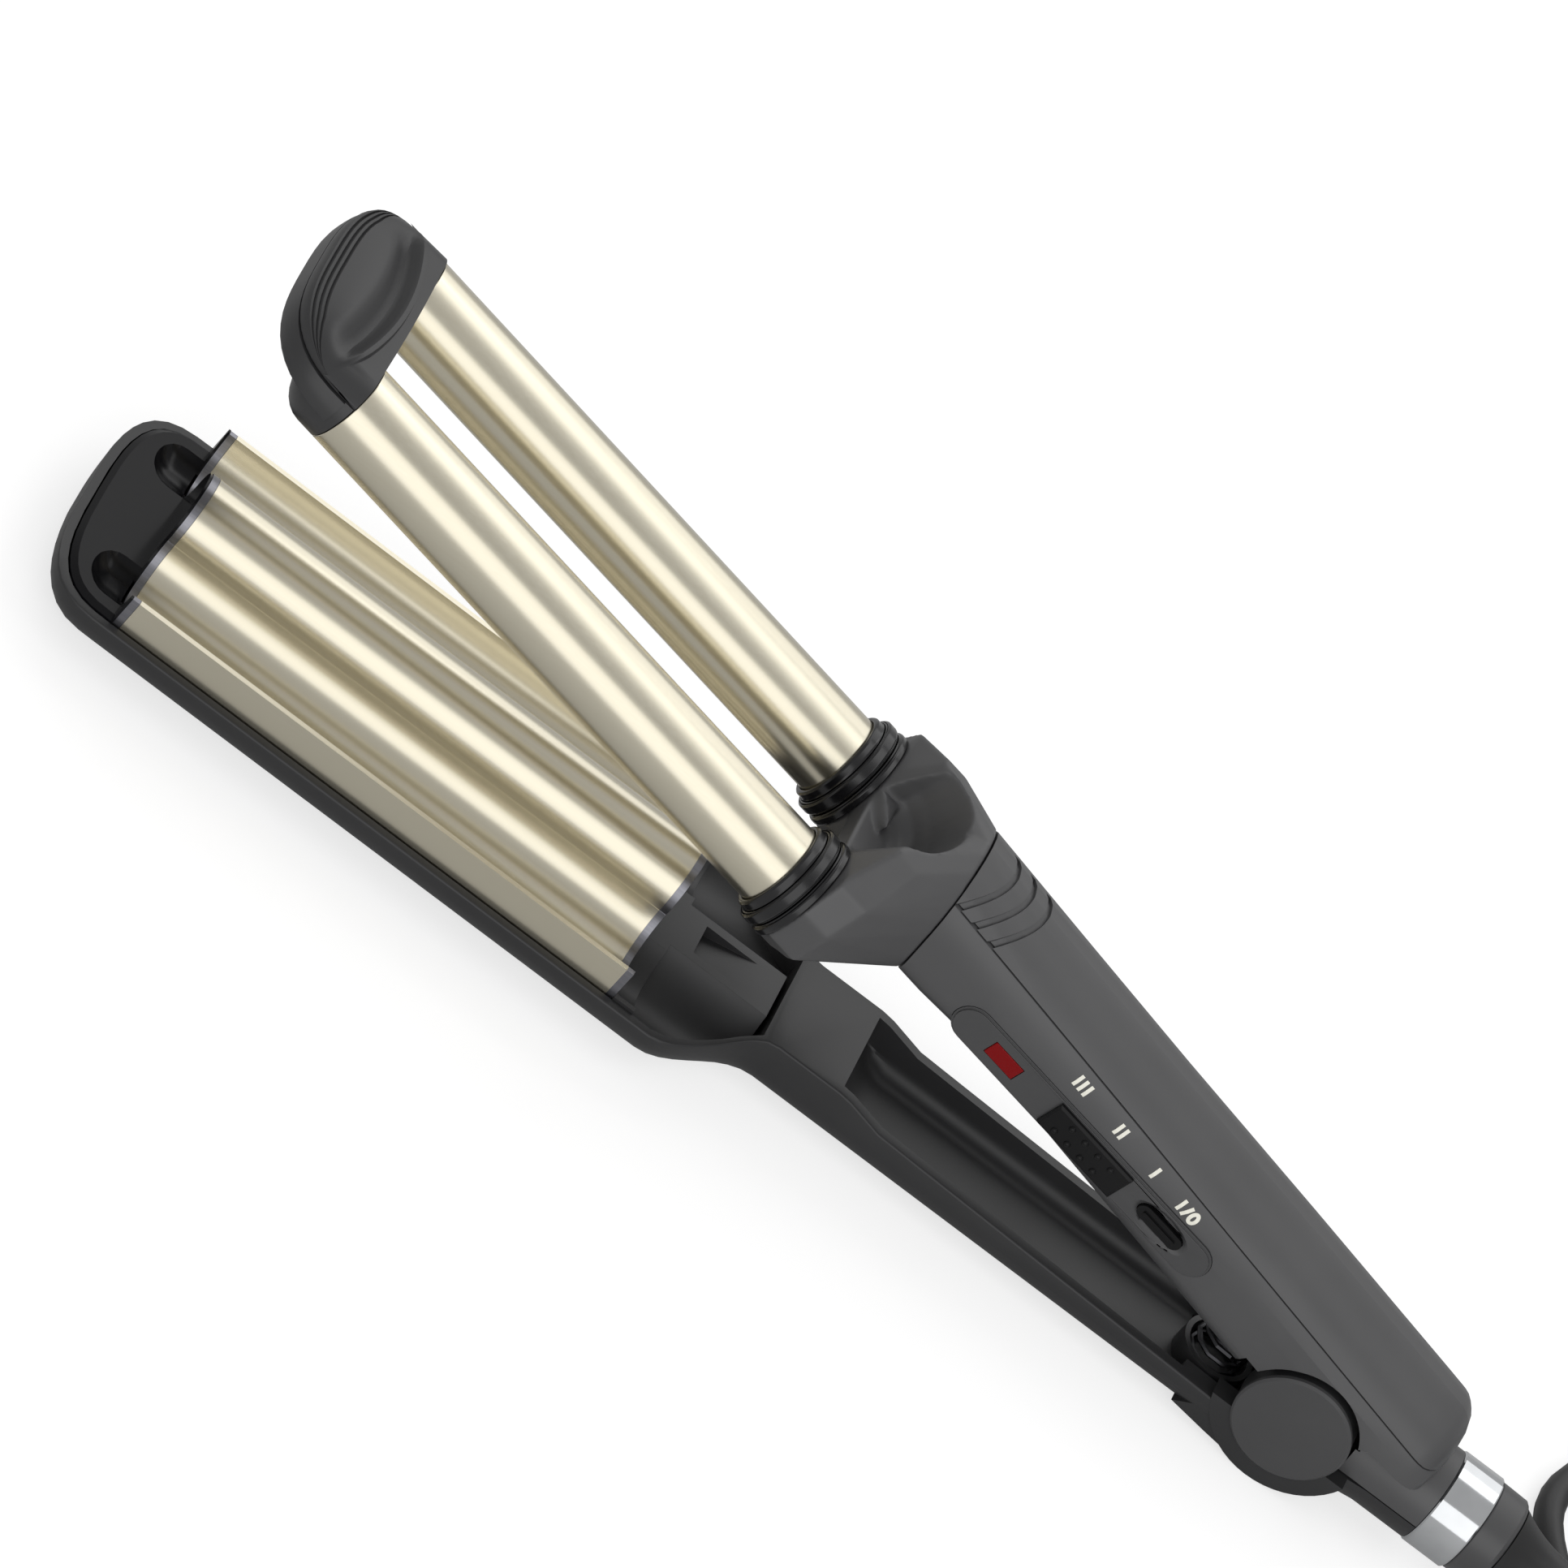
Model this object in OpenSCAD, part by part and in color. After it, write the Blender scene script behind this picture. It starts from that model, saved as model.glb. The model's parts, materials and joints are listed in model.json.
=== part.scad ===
// Deep-wave hair crimper. Two heated barrels on a sprung upper arm close into a W-shaped
// wave plate on the lower arm. Axes: +X from the tips to the cord, +Y away from the control
// side, +Z up. The origin is the middle of the resting footprint. The shapes are drawn around
// the hinge axis with the jaws closed, and the upper arm is then swung open by open_angle.

/* [Barrels] */
// Outer diameter of each barrel
barrel_d = 19; // [16:0.5:22]
// Length of each barrel that shows
barrel_len = 126.5; // [90:0.5:150]
// Distance between the two barrel axes
barrel_pitch = 38; // [34:0.5:46]
// Wall of each barrel tube
barrel_wall = 1.2; // [0.8:0.1:2]
// Height of the barrel axes over the hinge axis with the jaws closed
barrel_z = 5.1; // [3:0.1:8]

/* [Wave plate] */
// Sheet thickness of the wave plate
plate_t = 1.2; // [0.8:0.1:2]
// Gap between a closed barrel and its trough
hair_gap = 0.3; // [0.2:0.05:0.8]
// How far the outer lips stay under the barrel axes
lip_drop = 1.1; // [0:0.1:3]
// Height of the plate's outer flanges
flange_h = 9; // [6:0.5:11]
// Thickness of the strips that close the plate's ends
strip_t = 1.7; // [1.2:0.1:3]

/* [Arms] */
// Distance from the hinge axis to the rear end of the barrels
reach = 157.5; // [140:0.5:185]
// Angle between the arms at rest
open_angle = 12.6; // [6:0.1:14]
// Height of the hinge axis over the table
hinge_h = 17; // [16:0.5:20]
// Wall of the lower arm
jaw_wall = 2; // [1.6:0.1:2.6]
// Length of the rounded nose in front of the plate
nose_len = 17.5; // [15:0.5:24]
// Length of the tip cap in front of the barrels
cap_len = 21.5; // [18:0.5:26]

/* [Handle] */
// Width of the handle
handle_w = 29; // [27:0.5:35]
// Height of the handle under the hinge axis
handle_low = 3.5; // [2:0.5:5]
// Height of the handle over the hinge axis
handle_top_z = 23.5; // [21:0.5:28]
// Height of the seam between the shells
seam_z = 16.6; // [14:0.1:18]
// Slope of the handle against the barrels
handle_tilt = 3.7; // [2:0.1:5]
// Wall of the handle shells
shell_t = 2; // [1.6:0.1:2.4]
// Distance from the hinge axis to the handle's rear end
handle_rear = 25.5; // [23:0.5:29]

/* [Hinge] */
// Diameter of the round cover discs
disc_d = 25; // [22:0.5:28]
// Diameter of the hinge pin
pin_d = 6; // [4:0.5:8]
// Width of the upper arm's hub between the ears
hub_w = 18; // [14:0.5:20]

/* [Controls] */
// Length of the heat selector's pad
selector_len = 21.3; // [18:0.1:24]
// Height of the heat selector's pad
selector_h = 7.3; // [5:0.1:8]
// Travel of the heat selector to each side of setting II
selector_travel = 4; // [2:0.5:4]
// Length of the power button
button_len = 12; // [9:0.5:13]
// Width of the power button
button_w = 3.4; // [2.4:0.1:4]
// Travel of the power button
button_travel = 0.8; // [0.4:0.1:1]

/* [Tail] */
// Diameter of the tail
tail_d = 21; // [19:0.5:23]
// Length of the chrome ring
ring_len = 10; // [7:0.5:13]
// Length of the black collar behind the ring
collar_len = 7; // [5:0.5:9]
// Length of the strain relief outside the collar
relief_len = 36; // [28:1:45]

/* [Cord] */
// Diameter of the mains cord
cord_d = 6.4; // [6:0.1:6.6]

/* [Hidden] */
$fn = 64;
seam = 0.3;      // gap along a visible seam between two shells
fit = 0.1;       // clearance of a piece in its seat
run = 0.05;      // radial clearance of a running shaft
back = -barrel_len - reach;      // front ends of the barrels
axis_y = barrel_pitch / 2;
barrel_r = barrel_d / 2;
trough_r = barrel_r + hair_gap;
ridge_r = axis_y - trough_r;     // the ridge and the troughs meet tangent
plate_half = axis_y + trough_r + plate_t;
plate_front = back + 2.5;
plate_rear = -reach - 4.5;
jaw_half = plate_half + seam + jaw_wall;
jaw_low = -hinge_h;
jaw_top = -4;                    // upper edge of the jaw walls
neck_top = -1.3;                 // top of the solid neck
nose_power = 3.2;                // squareness of the nose's plan: 2 is an ellipse
lip_t = 0.5;                     // liner's lip in front of the plate
nose_rear = plate_front - strip_t - 0.05 - lip_t;
nose_tip = nose_rear - nose_len;
neck_front = -reach + 7;         // the jaw starts to narrow here
neck_rear = -reach + 31;         // and is as wide as the lever here
lever_half = handle_w / 2 - 0.1;
lever_low = jaw_low + 2;
lever_wall = 2.6;
lever_floor = lever_low + 2.8;
channel_front = neck_rear + 15;
head_front = -reach + 7.5;       // front face of the fork head
head_rear = -reach + 32.5;       // where the handle shells start, level with the hinge axis
head_lean = 0.315;               // how far that joint leans forward per mm of height
socket = 6;                      // how deep a barrel sits in the head
ear_in = hub_w / 2 + 0.3;
ear_out = handle_w / 2;
tail_z = -4;
tail_seam_z = tail_z - 1;
tail_rear = handle_rear + 7.5;
ring_rear = tail_rear + ring_len;
collar_rear = ring_rear + collar_len;
relief_end = collar_rear + relief_len;
tail_bore = tail_d / 2 - 2.2;
spring_x = -18.5;
web_z = 2;                       // underside of the handle's web, in its own slope
hinge_x = -(nose_tip + relief_end) / 2;
panel_z = 9.8;                   // middle of the control panel over the hinge axis
panel_h = 9.2;
panel_front = -111;
panel_rear = -37;
panel_face = handle_w / 2 + 0.6;
panel_back = handle_w / 2 - 3;
board_y = -panel_back + 3.9;     // face of the circuit board towards the panel
selector_x = panel_front + 38.5;
button_x = panel_rear - 13.5;
lens_x = panel_front + 14;
cord_r = cord_d / 2;
plug_h = 7;                      // height of the plug's axis over the table

// ---- helpers ----

module on_lower() {
    translate([hinge_x, 0, hinge_h]) children();
}

module on_upper() {
    on_lower() rotate([0, open_angle, 0]) children();
}

// The handle leans by its own tilt on the closed upper arm
module on_handle() {
    on_upper() rotate([0, handle_tilt, 0]) children();
}

// A section drawn in (y, z) carried along X
module along_x(x0, x1) {
    translate([x0, 0, 0]) rotate([90, 0, 90]) linear_extrude(x1 - x0) children();
}

// A side view drawn in (x, z) carried across Y
module across_y(half) {
    rotate([90, 0, 0]) linear_extrude(2 * half, center = true) children();
}

module rod_x(x0, x1, r) {
    translate([x0, 0, 0]) rotate([0, 90, 0]) cylinder(h = x1 - x0, r = r);
}

module rod_y(y0, y1, r) {
    translate([0, y1, 0]) rotate([90, 0, 0]) cylinder(h = y1 - y0, r = r);
}

module box(x, y, z) {
    translate([x[0], y[0], z[0]]) cube([x[1] - x[0], y[1] - y[0], z[1] - z[0]]);
}

function arc(cx, cy, r, a0, a1, n) =
    [for (i = [0:n]) [cx + r * cos(a0 + (a1 - a0) * i / n), cy + r * sin(a0 + (a1 - a0) * i / n)]];

// Closed outline of a bar with round lower and upper corners, anticlockwise
function bar(half, z0, z1, rb, rt, n = 6) = concat(
    arc(-half + rb, z0 + rb, rb, 180, 270, n), arc(half - rb, z0 + rb, rb, 270, 360, n),
    arc(half - rt, z1 - rt, rt, 0, 90, n), arc(-half + rt, z1 - rt, rt, 90, 180, n));

// The same with elliptical lower corners, a wide and b high
function tray(half, z0, z1, a, b, rt, n = 8) = concat(
    [for (i = [0:n]) let(t = 180 + 90 * i / n) [-half + a + a * cos(t), z0 + b + b * sin(t)]],
    [for (i = [0:n]) let(t = 270 + 90 * i / n) [half - a + a * cos(t), z0 + b + b * sin(t)]],
    arc(half - rt, z1 - rt, rt, 0, 90, 3), arc(-half + rt, z1 - rt, rt, 90, 180, 3));

function at_x(x, pts) = [for (p = pts) [x, p[0], p[1]]];
function at_z(z, pts) = [for (p = pts) [p[0], p[1], z]];

// A skin over equal rings of points, each ring anticlockwise seen from ahead
module loft(rings) {
    n = len(rings[0]);
    m = len(rings);
    polyhedron(
        points = [for (ring = rings) each ring],
        faces = concat(
            [[for (j = [0:n - 1]) j]],
            [for (i = [0:m - 2]) for (j = [0:n - 1])
                [(i + 1) * n + j, (i + 1) * n + (j + 1) % n, i * n + j]],
            [for (i = [0:m - 2]) for (j = [0:n - 1])
                [(i + 1) * n + (j + 1) % n, i * n + (j + 1) % n, i * n + j]],
            [[for (j = [n - 1:-1:0]) (m - 1) * n + j]]));
}

// Plan of a blunt round end: a superellipse, open side at rear
function blunt(rear, length, half, n = 20) = [for (i = [0:n])
    let(a = 90 - 180 * i / n, s = sin(a), c = cos(a), e = 2 / nose_power)
    [rear - length * pow(abs(c), e), half * sign(s) * pow(abs(s), e)]];

function smooth(t) = let(u = min(1, max(0, t))) u * u * (3 - 2 * u);
function mix(a, b, t) = a + (b - a) * t;

// ---- lower arm ----

// How far the arm has narrowed from the jaw, 0, to the lever, 1
function narrowed(x) = smooth((x - neck_front) / (neck_rear - neck_front));

// Half width of the lower arm at x, for a wall of w taken off
function arm_half(x, w) =
    x < nose_rear ? (jaw_half - w) * pow(max(0.001,
        1 - pow((nose_rear - x) / (nose_len - w), nose_power)), 1 / nose_power)
    : mix(jaw_half, lever_half, narrowed(x)) - w;

function arm_low(x) =
    x < nose_tip + 14 ? jaw_low + 8 * pow((nose_tip + 14 - x) / 14, 2.4)
    : mix(jaw_low, lever_low, narrowed(x));

function arm_top(x) =
    x < channel_front ? mix(jaw_top, neck_top, smooth((x - neck_rear + 12.5) / 11))
    : mix(neck_top, -6.9, smooth((x - channel_front) / 12) * 0.45
        + 0.55 * max(0, (x - channel_front - 6) / (-11 - channel_front - 6)));

// Section of the arm at x: shallow and wide in the jaw, squarer along the lever
function arm_ring(x, w, lift, top) =
    let(half = arm_half(x, w), low = arm_low(x) + lift,
        a = min(mix(21, 7, narrowed(x)) - w, 0.7 * half),
        b = min(mix(12.4, 7, narrowed(x)) - lift, arm_top(x) - 0.6 - low))
    at_x(x, tray(half, low, top, a, b, w > 0 ? 0.05 : 0.5));

nose_steps = [for (u = [0.15, 0.5, 1.1, 2, 3.2, 5, 7.5, 10.5, 14]) nose_tip + u];
neck_steps = [for (i = [0:9]) neck_front + (neck_rear - neck_front) * i / 9];

module arm_outer() {
    steps = concat(nose_steps, [nose_rear, (nose_rear + neck_front) / 2], neck_steps,
        [neck_rear + 7, channel_front], [for (i = [0:7]) channel_front + 3 + i * i * 2.05]);
    loft([for (x = steps) arm_ring(x, 0, 0, arm_top(x))]);
}

module jaw_hollow(w, lift) {
    first = nose_tip + w + 0.05;
    steps = concat([for (u = [0, 0.4, 1, 2, 3.5, 5.5, 8.5, 12]) first + u], [nose_rear],
        [for (i = [0:5]) mix(neck_front, neck_rear - 4, i / 5)]);
    loft([for (x = steps) arm_ring(x, w, lift, 25)]);
}

post_x = [plate_front + 24, (plate_front + plate_rear) / 2, plate_rear - 24];

module lower_shell() {
    color("#3a3a3b") on_lower() difference() {
        union() {
            difference() {
                arm_outer();
                jaw_hollow(jaw_wall, jaw_wall);
                // U-shaped channel of the lever
                loft([for (x = [0, 1.5, 4, 8, 30, 60, 88])
                    arm_ring(channel_front + x, lever_wall,
                        2.8 + 5 * pow(max(0, 1 - x / 8), 2), 25)]);
            }
            // round belly under the hinge and the two ears
            intersection() {
                rod_y(-ear_out, ear_out, hinge_h);
                box([-hinge_h, hinge_h], [-ear_out, ear_out], [-hinge_h, tail_seam_z - seam / 2]);
            }
            rod_y(-ear_out, ear_out, disc_d / 2 - fit);
            // the belly runs out into the lever
            across_y(ear_out - 0.9) polygon([[-21, lever_low + 1.2], [-14, -9], [-5, -9],
                [-5, -hinge_h + 0.9], [-12, -hinge_h + 1.8]]);
            // lower half of the tail, fuller towards the belly
            intersection() {
                translate([0, 0, tail_z]) union() {
                    rod_x(5, tail_rear, tail_d / 2);
                    translate([7, 0, 0]) rotate([0, 90, 0])
                        cylinder(h = 15, r1 = tail_d / 2 + 1.9, r2 = tail_d / 2 - 0.2);
                }
                box([5, tail_rear], [-20, 20], [-30, tail_seam_z - seam / 2]);
            }
            // posts under the heater carrier
            for (x = post_x)
                translate([x, 0, jaw_low + 1]) cylinder(h = carrier_z - jaw_low - 1, r = 4);
        }
        // room for the hub between the ears, and the wall around the pin
        rod_y(-ear_in, ear_in, hinge_h - 2.2);
        box([-hinge_h - 8, 0], [-ear_in, ear_in], [lever_floor, 20]);
        box([0, hinge_h - 1], [-ear_in, ear_in], [tail_z + 1, 20]);
        rod_y(-20, 20, pin_d / 2 + 0.01);
        // cord duct of the tail
        translate([0, 0, tail_z]) rod_x(hinge_h - 4, tail_rear + 1, tail_bore);
        // screw holes in the jaw floor
        for (x = post_x) translate([x, 0, jaw_low]) {
            translate([0, 0, -1]) cylinder(h = 40, r = 1.5 + fit);
            translate([0, 0, -1]) cylinder(h = 3, r = 3 + fit);
        }
        // seats of the end collar
        translate([0, 0, tail_z]) rod_x(tail_rear - 3, tail_rear + 1, tail_bore + 1);
    }
}

// W-shaped section: ridge between two troughs, as the solid below its upper face
module wave_above(drop) {
    difference() {
        union() {
            translate([-plate_half, barrel_z - 24]) square([2 * plate_half, 24 - lip_drop]);
            translate([0, barrel_z]) circle(ridge_r - drop);
            translate([-ridge_r + drop, barrel_z - 20]) square([2 * (ridge_r - drop), 20]);
        }
        for (s = [-1, 1])
            translate([s * axis_y, barrel_z]) circle(trough_r + drop);
    }
}

pad_z = barrel_z - trough_r - plate_t - 1;      // flat pads under the troughs
heater_t = 3;
carrier_z = pad_z - heater_t - 1.6;

module wave_plate() {
    color("#d9cfae") on_lower() along_x(plate_front, plate_rear) difference() {
        intersection() {
            wave_above(0);
            translate([-plate_half, barrel_z - lip_drop - flange_h])
                square([2 * plate_half, flange_h + lip_drop + ridge_r]);
        }
        // inside of the sheet: the ridge, the pads and the flanges keep their walls
        difference() {
            intersection() {
                wave_above(plate_t);
                translate([-plate_half + plate_t, barrel_z - 20])
                    square([2 * (plate_half - plate_t), 40]);
            }
            for (s = [-1, 1]) translate([s * axis_y - 7, pad_z]) square([14, 2.5]);
        }
    }
}

module plate_end_strips() {
    color("#8f8f90") on_lower()
        for (x = [plate_front - strip_t, plate_rear])
            along_x(x, x + strip_t - 0.05) intersection() {
                wave_above(0);
                translate([-plate_half + 0.1, jaw_top - 2]) square([2 * plate_half - 0.2, 60]);
            }
}

module nose_liner() {
    top = jaw_top + 1.2;
    half = jaw_half - jaw_wall - seam;
    length = nose_len - jaw_wall - seam;
    nest_r = trough_r + 0.5;
    color("#1d1d1e") on_lower() difference() {
        union() {
            difference() {
                loft([for (k = [[jaw_top - 4, 0.9], [jaw_top, 0], [top - 0.9, 0], [top, 1.2]])
                    at_z(k[0], blunt(nose_rear, length - k[1], half - k[1]))]);
                loft([for (z = [jaw_top - 5, top - 2])
                    at_z(z, blunt(nose_rear - 1.6, length - 3.4, half - 1.8))]);
            }
            // lip of the plate's own outline behind it
            along_x(nose_rear, nose_rear + lip_t) intersection() {
                wave_above(0.3);
                translate([-half, top - 1.5]) square([2 * half, 60]);
            }
            each_barrel() intersection() {
                nest(nest_r + 1.7);
                box([-400, 0], [-40, 40], [-30, top - barrel_z - 1]);
            }
        }
        each_barrel() nest(nest_r);
    }
}

// Half-round seat for the bullet under the tip cap
module nest(r) {
    rod_x(nose_rear - 4, nose_rear + 0.001, r);
    translate([nose_rear - 4, 0, 0]) rotate([0, -90, 0]) rotate_extrude()
        polygon(concat([[0, 0]], [for (i = [0:8]) let(a = 90 * i / 8) [r * cos(a), 8 * sin(a)]]));
}

module neck_liner() {
    top = jaw_top + 0.8;
    front = plate_rear + strip_t;
    rear = neck_rear - 5;
    color("#232324") on_lower() difference() {
        intersection() {
            loft([for (x = concat([front], [for (i = [0:6]) mix(neck_front, rear + 1, i / 6)]))
                arm_ring(x, jaw_wall + 0.15, jaw_wall + 0.4, 25)]);
            box([front, rear], [-60, 60], [-40, top]);
        }
        // scallops for the collars and the sockets
        each_barrel() rod_x(front + 5, rear + 1, barrel_r + 5.2);
        each_barrel() rod_x(front - 1, front + 6, barrel_r + 3.4);
        // sloping pocket between them, under the fork head
        translate([neck_rear - 24, 0, top]) rotate([0, -12, 0])
            box([0, 40], [-4.5, 4.5], [-2.6, 20]);
    }
}

module plate_heaters() {
    color("#e8e4da") on_lower() for (s = [-1, 1])
        box([plate_front + 18, plate_rear - 18], [s * axis_y - 6, s * axis_y + 6],
            [pad_z - heater_t, pad_z]);
}

module heater_carrier() {
    color("#cdbf9a") on_lower() difference() {
        box([plate_front + 6, plate_rear - 6], [-plate_half + 5.4, plate_half - 5.4],
            [carrier_z, carrier_z + 1.6]);
        for (x = post_x) translate([x, 0, carrier_z - 1]) cylinder(h = 5, r = 1.5 + fit);
    }
}

module thermal_fuse() {
    color("#c7c7c9") on_lower() translate([plate_rear - 12, 0, carrier_z + 1.6 + 2])
        rod_x(-6, 6, 2);
}

module screw(length) {
    // head and shank of a pan-head screw, head down
    difference() {
        union() {
            cylinder(h = 1.8, r = 3);
            cylinder(h = length, r = 1.5);
        }
        for (a = [0, 90]) rotate(a) translate([-2, -0.4, -0.1]) cube([4, 0.8, 0.9]);
    }
}

module jaw_screws() {
    color("#6f6f72") on_lower() for (x = post_x)
        translate([x, 0, jaw_low + 0.2]) screw(carrier_z + 1.6 - jaw_low);
}

module tail_cover() {
    color("#3c3c3d") on_lower() difference() {
        intersection() {
            translate([0, 0, tail_z]) rod_x(disc_d / 2 + 1, tail_rear, tail_d / 2);
            box([disc_d / 2 + 1, tail_rear], [-20, 20], [tail_seam_z + seam / 2, 20]);
        }
        translate([0, 0, tail_z]) rod_x(disc_d / 2 + 3, tail_rear + 1, tail_bore);
        translate([0, 0, tail_z]) rod_x(tail_rear - 3, tail_rear + 1, tail_bore + 1);
        // the hub swings through the front wall
        rod_y(-ear_in, ear_in, disc_d / 2 + 2);
    }
}

// Turned profile about the tail axis: points are [x, r]
module turned(profile) {
    translate([0, 0, tail_z]) rotate([0, 90, 0]) rotate_extrude()
        polygon([for (p = profile) [p[1], p[0]]]);
}

module chrome_ring() {
    color("#d8dadc") on_lower() turned([[tail_rear, tail_bore], [tail_rear, tail_d / 2 - 0.1],
        [tail_rear + 0.5, tail_d / 2 + 0.3], [ring_rear - 0.5, tail_d / 2 + 0.3],
        [ring_rear, tail_d / 2 - 0.1], [ring_rear, tail_bore]]);
}

module tail_collar() {
    lip = tail_bore + 1 - fit;
    color("#2a2a2b") on_lower() {
        turned([[ring_rear, 8.5], [ring_rear, tail_d / 2 - 0.2], [collar_rear - 1, tail_d / 2 - 0.4],
            [collar_rear, tail_d / 2 - 1.2], [collar_rear, 8.5]]);
        turned([[tail_rear - 3, 6.6], [tail_rear - 3, lip], [tail_rear - 0.2, lip],
            [tail_rear - 0.2, tail_bore - fit], [ring_rear, tail_bore - fit],
            [ring_rear, 6.6]]);
    }
}

module cord_sleeve() {
    // flange held inside the collar, bell, then a slim neck with grooves
    bell = [for (i = [0:8]) let(t = i / 8)
        [collar_rear + 0.3 + 15 * t, mix(8.9, cord_r + 2.1, 1 - pow(1 - t, 2.2))]];
    ribs = [for (i = [0:3]) let(x = collar_rear + 17.5 + 4 * i, r = cord_r + 1.9 - 0.12 * i)
        each [[x, r], [x, r - 0.8], [x + 1.2, r - 0.8], [x + 1.2, r]]];
    color("#1c1c1d") on_lower() turned(concat(
        [[tail_rear + 1, 0], [tail_rear + 1, 6.2], [collar_rear - 5, 6.2],
            [collar_rear - 5, 8.2], [collar_rear + 0.3, 8.2]],
        bell, ribs, [[relief_end - 1, cord_r + 1.3], [relief_end, cord_r + 0.9],
            [relief_end, 0]]));
}

module hinge_pin() {
    color("#c9cbcd") on_lower() rod_y(-ear_out + 0.2, ear_out - 0.2, pin_d / 2);
}

module hinge_covers() {
    color("#414142") on_lower() for (s = [-1, 1]) scale([1, s, 1])
        translate([0, -ear_out, 0]) rotate([90, 0, 0]) rotate_extrude()
            polygon([[0, 0], [disc_d / 2, 0], [disc_d / 2, 0.9], [disc_d / 2 - 0.5, 1.4],
                [0, 1.7]]);
}

spring_floor = lever_floor + 1;
spring_lean = open_angle + handle_tilt;
spring_top = (web_z - spring_x * sin(spring_lean)) / cos(spring_lean) - 0.1;

module spring_cup() {
    color("#454547") on_lower() translate([spring_x, 0, lever_floor + 0.02]) difference() {
        cylinder(h = 5.2, r = 8);
        translate([0, 0, 1]) cylinder(h = 10, r = 6.8);
    }
}

// One unbroken coil of round wire, which leans over to lie flat against the open handle
module arm_spring() {
    turns = 6;
    wire = 0.6;
    n = turns * 10;
    rise = spring_top - spring_floor - 2 * wire / cos(spring_lean);
    color("#b9bbbd") on_lower() translate([spring_x, 0, spring_floor + wire])
        loft([for (i = [n:-1:0]) let(a = 36 * i, t = i / n, lean = spring_lean * t)
            [for (k = [0:5]) let(b = 60 * k, r = 5.6 + wire * cos(b), up = wire * sin(b))
                [r * cos(a) * cos(lean) + up * sin(lean), r * sin(a),
                    rise * t - r * cos(a) * sin(lean) + up * cos(lean)]]]);
}

// ---- upper arm ----

module barrel_tube() {
    translate([0, 0, barrel_z]) difference() {
        rod_x(back, head_front + socket - fit, barrel_r);
        rod_x(back - 1, head_front + socket + 1, barrel_r - barrel_wall);
    }
}

module near_barrel() {
    color("#d9cfae") on_upper() translate([0, -axis_y, 0]) barrel_tube();
}

module far_barrel() {
    color("#d9cfae") on_upper() translate([0, axis_y, 0]) barrel_tube();
}

module each_barrel() {
    for (s = [-1, 1]) translate([0, s * axis_y, barrel_z]) children();
}

heater_front = back + 16;
heater_rear = -reach - 6;
ptc_half = 1.6;

module heater_clamps() {
    color("#bfc1c3") on_upper() each_barrel() difference() {
        rod_x(heater_front, heater_rear, barrel_r - barrel_wall - 0.05);
        box([heater_front - 1, heater_rear + 1], [-20, 20], [-ptc_half, ptc_half]);
    }
}

module barrel_heaters() {
    color("#e8e4da") on_upper() each_barrel()
        box([heater_front, heater_rear], [-6, 6], [-ptc_half, ptc_half]);
}

module barrel_collars() {
    color("#242425") on_upper() each_barrel()
        translate([-reach, 0, 0]) rotate([0, 90, 0]) rotate_extrude()
            polygon([[barrel_r + fit, 0], [barrel_r + 0.9, 0], [barrel_r + 1.3, 0.5],
                [barrel_r + 1.3, 1.9], [barrel_r + 1.7, 2.3], [barrel_r + 2.3, 2.3],
                [barrel_r + 2.6, 2.7], [barrel_r + 2.6, 4.6], [barrel_r + 2.1, 5],
                [barrel_r + 2.1, 5.6], [barrel_r + 2.8, 6], [barrel_r + 2.8, 7.5],
                [barrel_r + fit, 7.5]]);
}

cap_rear = back - 0.2;
cap_seam_z = barrel_z + 4.6;     // seam of the cap at its tip
cap_seam_rise = 1;               // and how much higher it is at its rear
cap_r = barrel_r + 0.6;          // the cap's ends are round about the barrel axes
cap_half = axis_y + cap_r;
cap_power = 3;                   // squareness of the cap's plan

// Everything over the cap's sloping seam
module over_seam(gap) {
    across_y(60) polygon([[cap_rear - cap_len - 5, 60],
        [cap_rear - cap_len - 5, cap_seam_z + gap], [cap_rear - cap_len, cap_seam_z + gap],
        [cap_rear + 0.1, cap_seam_z + cap_seam_rise + gap], [cap_rear + 0.1, 60]]);
}

// Half width of the cap at height z over the barrel axes
function cap_half_at(z) = axis_y + sqrt(cap_r * cap_r - z * z);

// Front edge of the cap at y
function cap_front(y, half) = cap_rear - cap_len
    * pow(max(0, 1 - pow(abs(y) / half, cap_power)), 1 / cap_power);

module tip_cap_base() {
    high = cap_seam_z + cap_seam_rise - barrel_z;
    color("#2b2b2c") on_upper() difference() {
        union() {
            loft([for (z = [-0.6, 0.2, 2, 3.6, high + 0.5])
                let(half = z < 0 ? cap_half - 1.2 : cap_half_at(z))
                at_z(barrel_z + z, [for (i = [0:24])
                    let(y = half * cos(7.5 * i)) [cap_front(y, half + 0.01), y]])]);
            each_barrel() {
                rod_x(cap_rear - 4, cap_rear, barrel_r);
                translate([cap_rear - 4, 0, 0]) rotate([0, -90, 0]) rotate_extrude()
                    polygon(concat([[0, 0]], [for (i = [0:8]) let(a = 90 * i / 8)
                        [barrel_r * cos(a), 7.5 * sin(a)]]));
                rod_x(cap_rear, cap_rear + 6, barrel_r - barrel_wall - fit);
            }
        }
        over_seam(-seam / 2);
    }
}

// How far the scoop's lip lies ahead of the cap's rear end at y
function lip_ahead(y) = 3.2 + 4.6 * pow(y / 24, 2);

// Smooth height of the cap over the seam, s behind its front edge
function cap_dome(s, y) =
    let(side = max(0, abs(y) - axis_y),
        crown = barrel_z + sqrt(max(0, cap_r * cap_r - side * side))
            + 0.9 * max(0, 1 - pow(y / axis_y, 2)))
    mix(cap_seam_z + 1.6, crown, sin(90 * min(1, 0.14 + s / 13)));

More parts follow.
